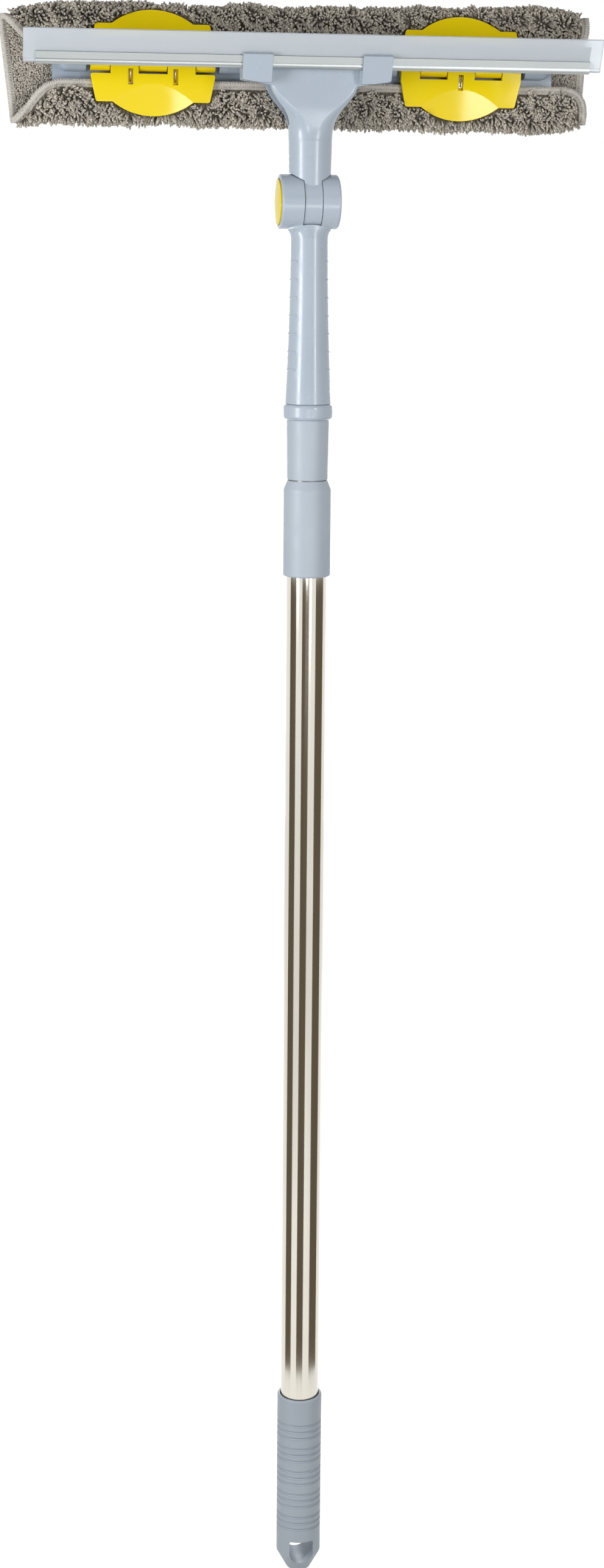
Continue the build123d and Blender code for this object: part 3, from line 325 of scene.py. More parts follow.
def overlock_thread(name, colour, shade):
    """Textured polyester sewing thread, packed close: soft, with the lay of its filaments."""
    material, tree, output = new_material(name)
    place = add(tree, "ShaderNodeTexCoord").outputs["Object"]
    fuzz = add(tree, "ShaderNodeTexNoise", {"Vector": place, "Scale": 1 / THREAD_FUZZ, "Detail": 4.0})
    mix = {0: fuzz.outputs["Fac"], 6: linear(shade), 7: linear(colour)}
    tone = add(tree, "ShaderNodeMix", mix, data_type="RGBA")
    raised = {"Height": fuzz.outputs["Fac"], "Distance": THREAD_FUZZ_DEPTH, "Strength": 1.0}
    bump = add(tree, "ShaderNodeBump", raised)
    shader = add(
        tree,
        "ShaderNodeBsdfPrincipled",
        {
            "Base Color": tone.outputs[2],
            "Roughness": 0.85,
            "Normal": bump.outputs["Normal"],
            "Sheen Weight": 0.2,
            "Specular IOR Level": 0.2,
        },
    )
    tree.links.new(shader.outputs["BSDF"], output.inputs["Surface"])
    return material


def finish_frame():
    """Gives every shown piece of the frame its finish."""
    # Glossy ABS from a polished mould: clear soft highlights that wander a little with its gloss
    shell = moulded_plastic(
        "abs_blue_grey_polished_mould",
        "#B1BDC9",
        "#A8B4C1",
        gloss=0.20,
        rough=0.30,
        grain=0.9 * MM,
        grain_depth=0.004 * MM,
        edge=0.35 * MM,
    )
    # The same ABS from a plainer mould: satin, with wide dull highlights; its colour is darkened as painted
    # shade for the blade's shadow on the frame
    plate = moulded_plastic(
        "abs_blue_grey_frame_painted_shade",
        "#9FABB9",
        "#94A1AF",
        gloss=0.25,
        rough=0.38,
        grain=0.7 * MM,
        grain_depth=0.006 * MM,
        edge=0.4 * MM,
    )
    # Polypropylene from a textured mould: matte and even, with a fine grain that spreads the light
    matte = moulded_plastic(
        "polypropylene_blue_grey_matte_mould",
        "#B3BDC7",
        "#A9B3BE",
        gloss=0.42,
        rough=0.55,
        grain=0.5 * MM,
        grain_depth=0.012 * MM,
        edge=0.3 * MM,
    )
    # Yellow ABS from a polished mould: a strong flat colour under sharp, small highlights
    yellow = moulded_plastic(
        "abs_yellow_polished_mould",
        "#F0D706",
        "#ECCE04",
        gloss=0.05,
        rough=0.10,
        grain=1.2 * MM,
        grain_depth=0.0015 * MM,
        edge=0.45 * MM,
        specular=0.35,
    )
    # Moulded acetal: plain off-white with a waxy sheen
    white = moulded_plastic(
        "acetal_white_moulded",
        "#E9E8E2",
        "#DEDCD4",
        gloss=0.3,
        rough=0.45,
        grain=0.6 * MM,
        grain_depth=0.006 * MM,
        edge=0.25 * MM,
    )
    # Polished stainless tube: a warm mirror that draws the studio out into stripes along the pole
    steel = drawn_metal(
        "stainless_steel_tube_polished", "#D8D4CB", "#CFCAC0", 0.10, 0.35 * MM, "Z", 0.0006 * MM
    )
    # Satin drawn tube inside it: a blurred grey, which still shows against white when the pole is drawn out
    inner = drawn_metal(
        "stainless_steel_tube_satin_drawn", "#A7A5A0", "#97948D", 0.34, 0.35 * MM, "Z", 0.0006 * MM
    )
    # Extruded aluminium: pale and satin, with streaks along the rail
    rail = drawn_metal("aluminium_extruded_satin", "#B6BBBB", "#ACB2B2", 0.42, 0.25 * MM, "X", 0.0006 * MM)
    # Nickel-plated spring wire: bright thin lines of light on each turn
    wire = drawn_metal(
        "spring_steel_wire_nickel_plated", "#CFCCC6", "#BDB9B1", 0.22, 0.2 * MM, "X", 0.001 * MM
    )
    # Zinc-plated steel: cool, slightly cloudy metal
    zinc = drawn_metal("steel_zinc_plated", "#CDD0D2", "#B8BDC2", 0.3, 0.3 * MM, "Y", 0.001 * MM)
    dress = {
        shell: ["head_bracket", "short_handle", "handle_collar"],
        plate: ["pad_frame"],
        matte: ["pole_grip", "lock_sleeve", "top_connector"],
        yellow: ["lock_button", "left_lower_flap", "left_upper_flap", "right_lower_flap", "right_upper_flap"],
        white: ["lock_core", "lock_ring", "lock_plug"],
        steel: ["outer_tube"],
        inner: ["inner_tube"],
        rail: ["blade_rail"],
        wire: ["lock_spring", "left_clamp_spring", "right_clamp_spring"],
        zinc: ["pivot_bolt", "pivot_nut", "frame_screws", "left_clamp_pin", "right_clamp_pin"],
        milky_silicone(): ["squeegee_blade"],
    }
    for material, nodes in dress.items():
        for node in nodes:
            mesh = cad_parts[node].data
            mesh.materials.clear()
            mesh.materials.append(material)


# Cloth: a looped sheet folded round the frame's plate, with a sewn hem and a pile of loops
PLATE = 3.2 * MM
LIP_STANDOFF = 3.5 * MM
BACK_STANDOFF = 4.0 * MM
FOLD_STANDOFF = 1.2 * MM
EDGE_RISE = 11.8 * MM
SHEET_THICKNESS = 1.2 * MM
SHEET_ROOM = 1.0 * MM
PLATE_CLEAR = 0.8 * MM
LEFT_INSET = 5.6 * MM
LEFT_DRAW = 14.5 * MM
LEFT_TILT = 3.2 * MM
LEFT_CORNER = 6.0 * MM
LEFT_SAG = 4.2 * MM
LEFT_SAG_START = 9.0 * MM
LEFT_PINCH = 2.6 * MM
RIGHT_INSET = 6.4 * MM
RIGHT_DRAW = 1.4 * MM
RIGHT_CORNER = 8.0 * MM
RIGHT_PINCH_START = 9.0 * MM
RIGHT_DROP = 4.0 * MM
RIGHT_LIFT = 1.5 * MM
RIGHT_RISE = 2.2 * MM
SHEET_COLUMNS = 150
SHEET_ROWS = 72
RIPPLE = 0.5 * MM
RIPPLE_LENGTH = 34 * MM
RIPPLE_WAVES = 7
RIPPLE_SHORTEST = 0.7
RIPPLE_LONGEST = 1.5
PRESSED_FACING = -0.35
PRESSED_SPREAD = 4
PROBE_START = 0.1 * MM
HEM_HALF_WIDTH = 2.2 * MM
HEM_HALF_THICKNESS = 1.3 * MM
HEM_INSET = 1.2 * MM
HEM_STEP = 1.0 * MM
HEM_TURNS = 5
THREAD_RADIUS = 0.36 * MM
THREAD_SINK = 0.2 * MM
THREAD_UNEVEN = 0.12 * MM
THREAD_PITCH = 0.6 * MM
THREAD_SLANT = 0.08
THREAD_STEPS = 4
LOOP_PITCH = 0.98 * MM
LOOP_LENGTH = 4.2 * MM
LOOP_SIDES = 5
INNER_SIDES = 6
LOOP_FOOT = 0.41 * MM
LOOP_STEPS = ((0.50, 1.30), (0.36, 1.10), (0.10, 0.72))
LOOP_CAP = 0.04
LOOP_CLEAR = 1.0 * MM
LOOP_LEAST = 1.0 * MM
LOOP_TRIES = (1.0, 0.8, 0.62, 0.48, 0.36)
LOOP_PROBES = (0.25, 0.5, 0.75, 1.0)
LOOP_SIDE = (0.31, 0.77, 0.56)
LOOP_JITTER = 0.4
LOOP_UNEVEN = 0.12
LOOP_LEAN = 0.45
LOOP_SCATTER = 0.17
LOOP_CURL = 0.17
ROOT_TUCK = 1.2 * MM
LOOP_DROOP = 0.12
SWIRL_LENGTH = 9 * MM
PILE_PIECES = 8
INNER_MARGIN = 1.2 * MM
INNER_PITCH = 0.75 * MM
INNER_LENGTH = 1.5 * MM
INNER_FOOT = 0.40 * MM
INNER_REACH = 6.0 * MM
RIGID_NODES = (
    "head_bracket",
    "pad_frame",
    "blade_rail",
    "squeegee_blade",
    "left_lower_flap",
    "left_upper_flap",
    "right_lower_flap",
    "right_upper_flap",
)

SEED = 41

draws = np.random.default_rng(SEED)
plate_low, plate_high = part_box("pad_frame")
cloth_low, cloth_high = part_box("cloth_pad")
clamp_z = (plate_low.z + plate_high.z) / 2
lip_y = plate_high.y - PLATE - LIP_STANDOFF
back_y = plate_high.y + BACK_STANDOFF
bend = (back_y - lip_y) / 2
turn_y = (back_y + lip_y) / 2
turn_low = plate_low.z - FOLD_STANDOFF + bend
turn_high = plate_high.z + FOLD_STANDOFF - bend
lip = clamp_z - EDGE_RISE - turn_low
half_round = math.pi * bend
back = turn_high - turn_low
fold_length = 2 * lip + 2 * half_round + back
hem_depth = HEM_HALF_WIDTH + HEM_INSET - ROOT_TUCK


def ripples(length):
    """A smooth seeded unevenness over two coordinates, about 1 high, with waves of about that length."""
    angles = draws.uniform(0, 2 * math.pi, RIPPLE_WAVES)
    phases = draws.uniform(0, 2 * math.pi, RIPPLE_WAVES)
    waves = 2 * math.pi / (length * draws.uniform(RIPPLE_SHORTEST, RIPPLE_LONGEST, RIPPLE_WAVES))

    def height(a, b):
        total = sum(
            np.sin(w * (a * math.cos(t) + b * math.sin(t)) + p) for w, t, p in zip(waves, angles, phases)
        )
        return total * math.sqrt(2 / RIPPLE_WAVES)

    return height


sheet_ripple = ripples(RIPPLE_LENGTH)
swirl_along = ripples(SWIRL_LENGTH)
swirl_across = ripples(SWIRL_LENGTH)


def fold(s):
    """The folded sheet's section: y, z and outward normals at lengths s from the lower lip's edge."""
    a = (s - lip) / bend
    b = (s - lip - half_round - back) / bend
    parts = [s < lip, a < math.pi, s < lip + half_round + back, b < math.pi, s >= 0]
    y = [
        np.full_like(s, lip_y),
        turn_y - bend * np.cos(a),
        np.full_like(s, back_y),
        turn_y + bend * np.cos(b),
        np.full_like(s, lip_y),
    ]
    z = [
        clamp_z - EDGE_RISE - s,
        turn_low - bend * np.sin(a),
        turn_low + s - lip - half_round,
        turn_high + bend * np.sin(b),
        clamp_z + EDGE_RISE + fold_length - s,
    ]
    flat = np.zeros_like(s)
    ny = [flat - 1, -np.cos(a), flat + 1, np.cos(b), flat - 1]
    nz = [flat, -np.sin(a), flat, np.sin(b), flat]
    return np.select(parts, y), np.select(parts, z), np.select(parts, ny), np.select(parts, nz)


def corner(out, reach, radius):
    """How far a rounded corner draws an end in, out along a lip towards its edge."""
    inside = np.clip(out - reach + radius, 0, radius)
    return radius - np.sqrt(radius**2 - inside**2)


def ends(s):
    """The sheet's left and right ends along the fold: drawn in on the lips, with rounded corners."""
    reach = lip + half_round / 2
    out = np.clip(np.abs(s - fold_length / 2) - back / 2 - half_round / 2, 0, reach)
    left = cloth_low.x + LEFT_INSET + LEFT_DRAW * out / reach + LEFT_TILT * np.cos(math.pi * s / fold_length)
    right = cloth_high.x - RIGHT_INSET - RIGHT_DRAW * out / reach
    return left + corner(out, reach, LEFT_CORNER), right - corner(out, reach, RIGHT_CORNER)


def rigid_tree():
    """The rigid pieces that the cloth lies against, for measuring the room it has."""
    points = []
    faces = []
    for node in RIGID_NODES:
        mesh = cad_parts[node].data
        start = len(points)
        points += [v.co.copy() for v in mesh.vertices]
        faces += [[start + i for i in p.vertices] for p in mesh.polygons]
    return BVHTree.FromPolygons(points, faces)


rigid = rigid_tree()


def lip_give(x, y, z, ny):
    """How far the sheet is pressed back towards the plate by what lies on it."""
    give = np.zeros_like(y)
    plate_front = plate_high.y - PLATE
    deep = LIP_STANDOFF + SHEET_ROOM
    for i in map(tuple, np.argwhere(ny < PRESSED_FACING)):
        start = Vector((x[i], min(plate_front, y[i] + LIP_STANDOFF) - PROBE_START, z[i]))
        room = rigid.ray_cast(start, Vector((0, -1, 0)), deep)[3]
        give[i] = 0 if room is None else deep - room
    for _ in range(PRESSED_SPREAD):
        near = np.pad(give, 1, mode="edge")
        give = np.maximum(give, (near[:-2, 1:-1] + near[2:, 1:-1] + near[1:-1, :-2] + near[1:-1, 2:]) / 4)
    return give


def past(start, end, x):
    """How far along the way from start to end each place is, from 0 to 1."""
    return np.clip((x - start) / (end - start), 0, 1)


def sheet_grid():
    """The sheet's grid of positions and normals, rows along the fold and columns along X."""
    s = np.repeat(np.linspace(0, fold_length, SHEET_ROWS + 1)[:, None], SHEET_COLUMNS + 1, 1)
    left, right = ends(s)
    x = left + (right - left) * np.linspace(0, 1, SHEET_COLUMNS + 1)[None, :]
    y, z, ny, nz = fold(s)
    lift = RIPPLE * sheet_ripple(x, s)
    sagging = past(plate_low.x + LEFT_SAG_START, cloth_low.x, x) ** 2
    pinched = past(plate_high.x - RIGHT_PINCH_START, cloth_high.x, x) ** 2
    height = (z - turn_low) / back
    y = y + lift * ny + lip_give(x, y, z, ny)
    z = z + lift * nz - (LEFT_SAG + LEFT_PINCH * height) * sagging
    z = z - (RIGHT_DROP * height - RIGHT_LIFT * (1 - height)) * pinched
    z = z + RIGHT_RISE * height * past(0, plate_high.x, x)
    over_plate = (ny < 0) & (z > plate_low.z - PLATE_CLEAR) & (z < plate_high.z + PLATE_CLEAR)
    y = np.where(over_plate, np.minimum(y, plate_high.y - PLATE - PLATE_CLEAR), y)
    return np.stack([x, y, z], -1), np.stack([np.zeros_like(x), ny, nz], -1)


def new_mesh(name, points, faces, material):
    """A smooth mesh object at the origin, with its place in its mesh."""
    mesh = bpy.data.meshes.new(name)
    mesh.from_pydata(points, [], faces)
    mesh.polygons.foreach_set("use_smooth", [True] * len(mesh.polygons))
    mesh.materials.append(material)
    piece = bpy.data.objects.new(name, mesh)
    bpy.context.scene.collection.objects.link(piece)
    return piece


def point_values(piece, name, values):
    """A named value on each of a piece's points."""
    piece.data.attributes.new(name, "FLOAT", "POINT").data.foreach_set("value", values.astype(np.float32))


def take_shape():
    """The points and faces of the pattern just modelled, which is then put away."""
    bpy.ops.mesh.select_all(action="SELECT")
    bpy.ops.mesh.normals_make_consistent(inside=False)
    bpy.ops.object.mode_set(mode="OBJECT")
    pattern = bpy.context.object
    points = np.array([v.co for v in pattern.data.vertices])
    faces = [tuple(p.vertices) for p in pattern.data.polygons]
    bpy.data.objects.remove(pattern)
    return points, faces


def model_loop(foot, sides):
    """One loop of chenille yarn, 1 long: a stem of a few sides that swells towards a blunt end."""
    bpy.ops.object.select_all(action="DESELECT")
    bpy.ops.mesh.primitive_circle_add(vertices=sides, radius=foot, fill_type="NGON")
    bpy.ops.object.mode_set(mode="EDIT")
    bpy.ops.mesh.select_all(action="SELECT")
    for rise, swell in LOOP_STEPS:
        bpy.ops.mesh.extrude_region_move(TRANSFORM_OT_translate={"value": (0, 0, rise)})
        bpy.ops.transform.resize(value=(swell, swell, 1))
    bpy.ops.mesh.extrude_region_move(TRANSFORM_OT_translate={"value": (0, 0, LOOP_CAP)})
    bpy.ops.mesh.merge(type="CENTER")
    return take_shape()


def model_stitch():
    """One stitch of thread over the hem: in along its face, round its edge and out along its other face."""
    straight = 2 * HEM_HALF_WIDTH - HEM_HALF_THICKNESS
    bpy.ops.object.select_all(action="DESELECT")
    bpy.ops.mesh.primitive_circle_add(
        vertices=4,
        radius=THREAD_RADIUS,
        fill_type="NGON",
        location=(-HEM_HALF_WIDTH, HEM_HALF_THICKNESS - THREAD_SINK, 0),
        rotation=(0, math.pi / 2, 0),
    )
    bpy.ops.object.transform_apply(location=True, rotation=True, scale=True)
    bpy.ops.object.mode_set(mode="EDIT")
    bpy.ops.mesh.select_all(action="SELECT")
    bpy.ops.mesh.extrude_region_move(TRANSFORM_OT_translate={"value": (straight, 0, 0)})
    turn = (HEM_HALF_WIDTH - HEM_HALF_THICKNESS, 0, 0)
    bpy.ops.mesh.spin(steps=THREAD_STEPS, angle=-math.pi, center=turn, axis=(0, 0, 1))
    bpy.ops.mesh.extrude_region_move(TRANSFORM_OT_translate={"value": (-straight, 0, 0)})
    return take_shape()


def repeat_faces(faces, size, count):
    """The faces of count copies of a pattern with that many points."""
    return [tuple(i * size + k for k in face) for i in range(count) for face in faces]


def sew_sheet(points, material):
    """The folded sheet itself, a thin knitted ground."""
    rows, columns = points.shape[:2]
    faces = [
        (r * columns + c, r * columns + c + 1, (r + 1) * columns + c + 1, (r + 1) * columns + c)
        for r in range(rows - 1)
        for c in range(columns - 1)
    ]
    sheet = new_mesh("cloth_sheet", points.reshape(-1, 3).tolist(), faces, material)
    wall = sheet.modifiers.new("wall", "SOLIDIFY")
    wall.thickness = SHEET_THICKNESS
    wall.offset = 0
    bpy.ops.object.select_all(action="DESELECT")
    bpy.context.view_layer.objects.active = sheet
    sheet.select_set(True)
    bpy.ops.object.modifier_apply(modifier=wall.name)
    return sheet


def border(points, normals, step):
    """Evenly spaced stations round the sheet's border: places, ways along it, normals and outward ways."""

    def run(grid):
        line = np.concatenate([grid[0, :-1], grid[:-1, -1], grid[-1, :0:-1], grid[:0:-1, 0]])
        return np.vstack([line, line[:1]])

    line = run(points)
    facing = run(normals)
    travel = np.concatenate([[0], np.cumsum(np.linalg.norm(np.diff(line, axis=0), axis=1))])
    at = np.linspace(0, travel[-1], int(travel[-1] / step), endpoint=False)
    place = np.stack([np.interp(at, travel, line[:, i]) for i in range(3)], -1)
    normal = np.stack([np.interp(at, travel, facing[:, i]) for i in range(3)], -1)
    normal /= np.linalg.norm(normal, axis=1, keepdims=True)
    along = np.roll(place, -2, 0) - np.roll(place, 2, 0)
    along /= np.linalg.norm(along, axis=1, keepdims=True)
    out = np.cross(along, normal)
    out /= np.linalg.norm(out, axis=1, keepdims=True)
    return place - HEM_INSET * out, along, normal, out


def hem_section():
    """The hem's flat section with round edges, as (outward, normal) pairs."""
    straight = HEM_HALF_WIDTH - HEM_HALF_THICKNESS
    turns = [math.pi * k / HEM_TURNS for k in range(HEM_TURNS + 1)]
    outer = [(straight + HEM_HALF_THICKNESS * math.sin(t), -HEM_HALF_THICKNESS * math.cos(t)) for t in turns]
    return outer + [(-a, -b) for a, b in outer]


def sew_hem(points, normals, band, thread):
    """The overlocked border: a padded band, and thread wrapped round it stitch by stitch."""
    ring = hem_section()
    place, _, normal, out = border(points, normals, HEM_STEP)
    count, sides = len(place), len(ring)
    band_points = np.stack([place + a * out + b * normal for a, b in ring], 1).reshape(-1, 3)
    band_faces = [
        (
            i * sides + k,
            i * sides + (k + 1) % sides,
            (i + 1) % count * sides + (k + 1) % sides,
            (i + 1) % count * sides + k,
        )
        for i in range(count)
        for k in range(sides)
    ]
    hem = new_mesh("cloth_hem", band_points.tolist(), band_faces, band)
    stitch, faces = model_stitch()
    place, along, normal, out = (g[:, None, :] for g in border(points, normals, THREAD_PITCH))
    a, b, c = (stitch[None, :, i, None] for i in range(3))
    shift = c + draws.normal(0, THREAD_UNEVEN, (len(place), 1, 1))
    slant = draws.normal(THREAD_SLANT, THREAD_SLANT, (len(place), 1, 1))
    thread_points = (place + a * out + b * normal + (shift + slant * a) * along).reshape(-1, 3)
    thread_faces = repeat_faces(faces, len(stitch), len(place))
    stitches = new_mesh("hem_stitches", thread_points.tolist(), thread_faces, thread)
    return hem, stitches


def surface(points, normals, s, x):
    """Places and normals on the sheet at fold lengths s and shares x of its width."""
    rows = s / fold_length * SHEET_ROWS
    columns = x * SHEET_COLUMNS
    r = np.clip(rows.astype(int), 0, SHEET_ROWS - 1)
    c = np.clip(columns.astype(int), 0, SHEET_COLUMNS - 1)
    a = (rows - r)[:, None]
    b = (columns - c)[:, None]

    def between(grid):
        low = grid[r, c] * (1 - b) + grid[r, c + 1] * b
        return low * (1 - a) + (grid[r + 1, c] * (1 - b) + grid[r + 1, c + 1] * b) * a

    facing = between(normals)
    return between(points), facing / np.linalg.norm(facing, axis=1, keepdims=True)


def pile_roots(pitch, margin):
    """Jittered rows of loop roots inside a margin, as fold lengths and shares of the width."""
    lengths = []
    shares = []
    for row, s in enumerate(np.arange(margin, fold_length - margin, pitch)):
        left, right = (float(e[0]) for e in ends(np.array([s])))
        x = np.arange(left + margin + (row % 2) * pitch / 2, right - margin, pitch)
        x = x + draws.uniform(-LOOP_JITTER, LOOP_JITTER, len(x)) * pitch
        lengths.append(s + draws.uniform(-LOOP_JITTER, LOOP_JITTER, len(x)) * pitch)
        shares.append((x - left) / (right - left))
    return np.concatenate(lengths), np.clip(np.concatenate(shares), 0, 1)


def lay_loops(root, facing, s, lean):
    """Which way each loop stands, and how it bends: outward, in swirls, with scatter and a slight droop."""
    across = np.array([[1.0, 0.0, 0.0]])
    down = np.cross(facing, across)
    count = len(root)
    along = lean * swirl_along(root[:, 0], s) + draws.normal(0, LOOP_SCATTER, count)
    over = lean * swirl_across(root[:, 0], s) + draws.normal(0, LOOP_SCATTER, count)
    way = facing + along[:, None] * across + over[:, None] * down
    way /= np.linalg.norm(way, axis=1, keepdims=True)
    curl = draws.normal(0, LOOP_CURL, (count, 1)) * across + draws.normal(0, LOOP_CURL, (count, 1)) * down
    curl[:, 2] -= LOOP_DROOP
    return way, curl


def has_room(root, way, curl, length):
    """Whether a loop of that length stays clear of the rigid pieces."""
    last = Vector(root)
    for share in LOOP_PROBES:
        point = Vector(root + length * (share * way + share * share * curl))
        step = point - last
        if rigid.find_nearest(point, LOOP_CLEAR)[0] or rigid.ray_cast(last, step, step.length)[0]:
            return False
        last = point
    return True


def fit_loops(root, way, curl, length):
    """Shortens the loops that would meet a rigid piece, and says which of them have room."""
    keep = np.zeros(len(root), bool)
    for i in range(len(root)):
        for share in LOOP_TRIES:
            size = share * length[i]
            if size > LOOP_LEAST and has_room(root[i], way[i], curl[i], size):
                length[i] = size
                keep[i] = True
                break
    return keep


def grow_pile(name, loop, root, way, curl, length, material):
    """Copies of the modelled loop of yarn on their roots, each along its own way, as one mesh."""
    pattern, faces = loop
    count, size = len(root), len(pattern)
    side = np.cross(way, LOOP_SIDE)
    side /= np.linalg.norm(side, axis=1, keepdims=True)
    other = np.cross(way, side)
    a, b, share = (pattern[None, :, i, None] for i in range(3))
    tall = length[:, None, None]
    points = root[:, None] + tall * (share * way[:, None] + share**2 * curl[:, None])
    points = (points + a * side[:, None] + b * other[:, None]).reshape(-1, 3)
    pile = new_mesh(name, points.tolist(), repeat_faces(faces, size, count), material)
    point_values(pile, "along", np.tile(pattern[:, 2], count))
    point_values(pile, "around", np.tile(np.arctan2(pattern[:, 1], pattern[:, 0]), count))
    point_values(pile, "tint", np.repeat(draws.uniform(0, 1, count), size))
    return pile


def make_cloth():
    """The cloth's sheet, hem, pile outside and short loops inside its open ends, all riding on the head."""
    # Chenille loops: pale blunt ends over roots darkened as painted shade, so that the pile reads as separate
    # loops
    yarn = looped_yarn("microfibre_chenille_loops", "#CBC3B6", "#6C6458", 2.0)
    # Short loops of the inside: a low, even nap, a shade darker, with their roots darkened as painted shade
    # too
    short = looped_yarn("microfibre_short_loops", "#BDB6AB", "#767065", 1.0)
    ground = knitted_backing()
    # Overlocked border: a soft pale band, with its stitches a shade lighter across it
    band = overlock_thread("polyester_overlock_band", "#C9C4BC", "#B7B2A9")
    thread = overlock_thread("polyester_overlock_thread", "#D8D4CD", "#C4BFB7")
    points, normals = sheet_grid()
    sheet = sew_sheet(points, ground)
    pieces = list(sew_hem(points, normals, band, thread))
    loop = model_loop(LOOP_FOOT, LOOP_SIDES)
    short_loop = model_loop(INNER_FOOT, INNER_SIDES)
    s, share = pile_roots(LOOP_PITCH, hem_depth)
    root, facing = surface(points, normals, s, share)
    way, curl = lay_loops(root, facing, s, LOOP_LEAN)
    length = LOOP_LENGTH * draws.normal(1, LOOP_UNEVEN, len(s))
    keep = fit_loops(root, way, curl, length)
    part = np.clip((s / fold_length * PILE_PIECES).astype(int), 0, PILE_PIECES - 1)
    for i in range(PILE_PIECES):
        chosen = keep & (part == i)
        grown = (root[chosen], way[chosen], curl[chosen], length[chosen])
        pieces.append(grow_pile("pile_%d" % (i + 1), loop, *grown, yarn))
    s, share = pile_roots(INNER_PITCH, INNER_MARGIN)
    root, facing = surface(points, normals, s, share)
    for name, inside in (
        ("inner_loops_left", root[:, 0] < plate_low.x + INNER_REACH),
        ("inner_loops_right", root[:, 0] > plate_high.x - INNER_REACH),
    ):
        start = root[inside]
        way, curl = lay_loops(start, -facing[inside], s[inside], LOOP_LEAN / 2)
        length = INNER_LENGTH * draws.normal(1, LOOP_UNEVEN, len(start))
        keep = fit_loops(start, way, curl, length)
        pieces.append(grow_pile(name, short_loop, start[keep], way[keep], curl[keep], length[keep], short))
    for piece in [sheet] + pieces:
        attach(piece, "head")
    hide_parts("cloth_pad")


# Springs: a clamp spring's legs and loop go with the flaps that they press, and its coils with the head
SPRING_LEG_OFFSET = 11.7 * MM
SPRING_LEG_ROOM = 0.6 * MM
SPRING_LOOP_ROOM = 1.35 * MM
SPRING_SPLIT = 0.4 * MM
UP = 1
DOWN = -1
WELD = 0.001 * MM


def spring_piece(name, node, wanted, body):
    """The faces of a spring that are wanted, as a piece of their own that rides on a body."""
    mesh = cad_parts[node].data
    faces = [tuple(p.vertices) for p in mesh.polygons if wanted(p.center)]
    piece = new_mesh(name, [v.co for v in mesh.vertices], faces, mesh.materials[0])
    bpy.ops.object.select_all(action="DESELECT")
    bpy.context.view_layer.objects.active = piece
    piece.select_set(True)
    bpy.ops.object.mode_set(mode="EDIT")
    bpy.ops.mesh.select_all(action="SELECT")
    bpy.ops.mesh.delete_loose()
    bpy.ops.mesh.select_all(action="SELECT")
    bpy.ops.mesh.remove_doubles(threshold=WELD)
    bpy.ops.mesh.fill_holes(sides=0)
    bpy.ops.object.mode_set(mode="OBJECT")
    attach(piece, body)
    return piece


def split_clamp_spring(side, legs_flap, loop_flap, legs_way):
    """One clamp's spring: its legs on one flap, its loop on the other and its coils on the head."""
    node = side + "_clamp_spring"
    low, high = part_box(node)
    middle = (low.x + high.x) / 2

    def is_leg(place):
        out = abs(abs(place.x - middle) - SPRING_LEG_OFFSET)
        return out < SPRING_LEG_ROOM and legs_way * (place.z - clamp_z) > SPRING_SPLIT

    def is_loop(place):
        return abs(place.x - middle) < SPRING_LOOP_ROOM and legs_way * (place.z - clamp_z) < -SPRING_SPLIT

    coils = spring_piece(node + "_coils", node, lambda c: not (is_leg(c) or is_loop(c)), "head")
    spring_piece(node + "_legs", node, is_leg, legs_flap)
    spring_piece(node + "_loop", node, is_loop, loop_flap)
    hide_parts(node)


def press_lock_spring():
    """The lock's spring, which the button shortens towards its seat in the right ear: here a welded piece
    with a mesh of its own, riding on the upper pole.
    """
    spring = spring_piece("lock_spring_wound", "lock_spring", lambda c: True, "upper_pole")
    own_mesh(spring)
    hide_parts("lock_spring")


# Studio: floor, soft boxes, dark screens that a polished tube mirrors, and the camera
FLOOR_HALF = 6.0
FLOOR_COLOUR = "#D6D5D2"
FLOOR_NEAR = 0.4
FLOOR_FAR = 2.5
FLOOR_LIFT_NEAR = 0.68
FLOOR_LIFT_FAR = 0.92
WORLD_LIGHT = 0.33
SCREEN_COLOUR = "#6E6455"
SCREEN_STEP = 4.0
SCREEN_TOP = 0.50

# Name, degrees right of the camera, distance, width, lowest and highest point in metres, watts
SOFT_BOXES = (
    ("soft_box_left", -50.0, 0.8, 0.2, 0.42, 0.92, 4.1),
    ("soft_box_right", 37.0, 0.8, 0.1, 0.60, 1.00, 1.9),
    ("soft_panel_middle", 3.3, 1.0, 0.22, 0.34, 0.51, 1.2),
    ("soft_panel_right", 24.2, 1.0, 0.145, 0.34, 0.51, 0.8),
    ("soft_box_back", 180.0, 1.2, 0.6, 0.1, 0.95, 7.0),
)

# Name, first and last degree right of the camera, radius, lowest and highest point in metres
SCREENS = (
    ("screen_left", -100, -57, 0.27, cad_box[0].z, SCREEN_TOP),
    ("screen_middle", -22, 16, 0.27, cad_box[0].z, SCREEN_TOP),
    ("screen_right", 55, 110, 0.27, cad_box[0].z, SCREEN_TOP),
    ("screen_far", -20, 48, 1.5, SCREEN_TOP, 0.76),
    ("screen_high", -30, 58, 1.5, 1.0, 1.7),
)


def seen_rays(tree):
    """1 for a ray that shows the background: from the camera, or by way of gloss or glass."""
    path = add(tree, "ShaderNodeLightPath").outputs
    gloss = add(
        tree, "ShaderNodeMath", {0: path["Is Camera Ray"], 1: path["Is Glossy Ray"]}, operation="MAXIMUM"
    ).outputs["Value"]
    return add(
        tree, "ShaderNodeMath", {0: gloss, 1: path["Is Transmission Ray"]}, operation="MAXIMUM"
    ).outputs["Value"]


def light_world():
    """A plain white world: full white where it is seen, softer as light."""
    world = bpy.data.worlds.new("studio")
    bpy.context.scene.world = world
    world.use_nodes = True
    tree = world.node_tree
    tree.nodes.clear()
    level = add(tree, "ShaderNodeMapRange", {"Value": seen_rays(tree), "To Min": WORLD_LIGHT, "To Max": 1.0})
    sky = add(tree, "ShaderNodeBackground", {"Color": linear("#FFFFFF"), "Strength": level.outputs["Result"]})
    add(tree, "ShaderNodeOutputWorld", {"Surface": sky.outputs["Background"]})


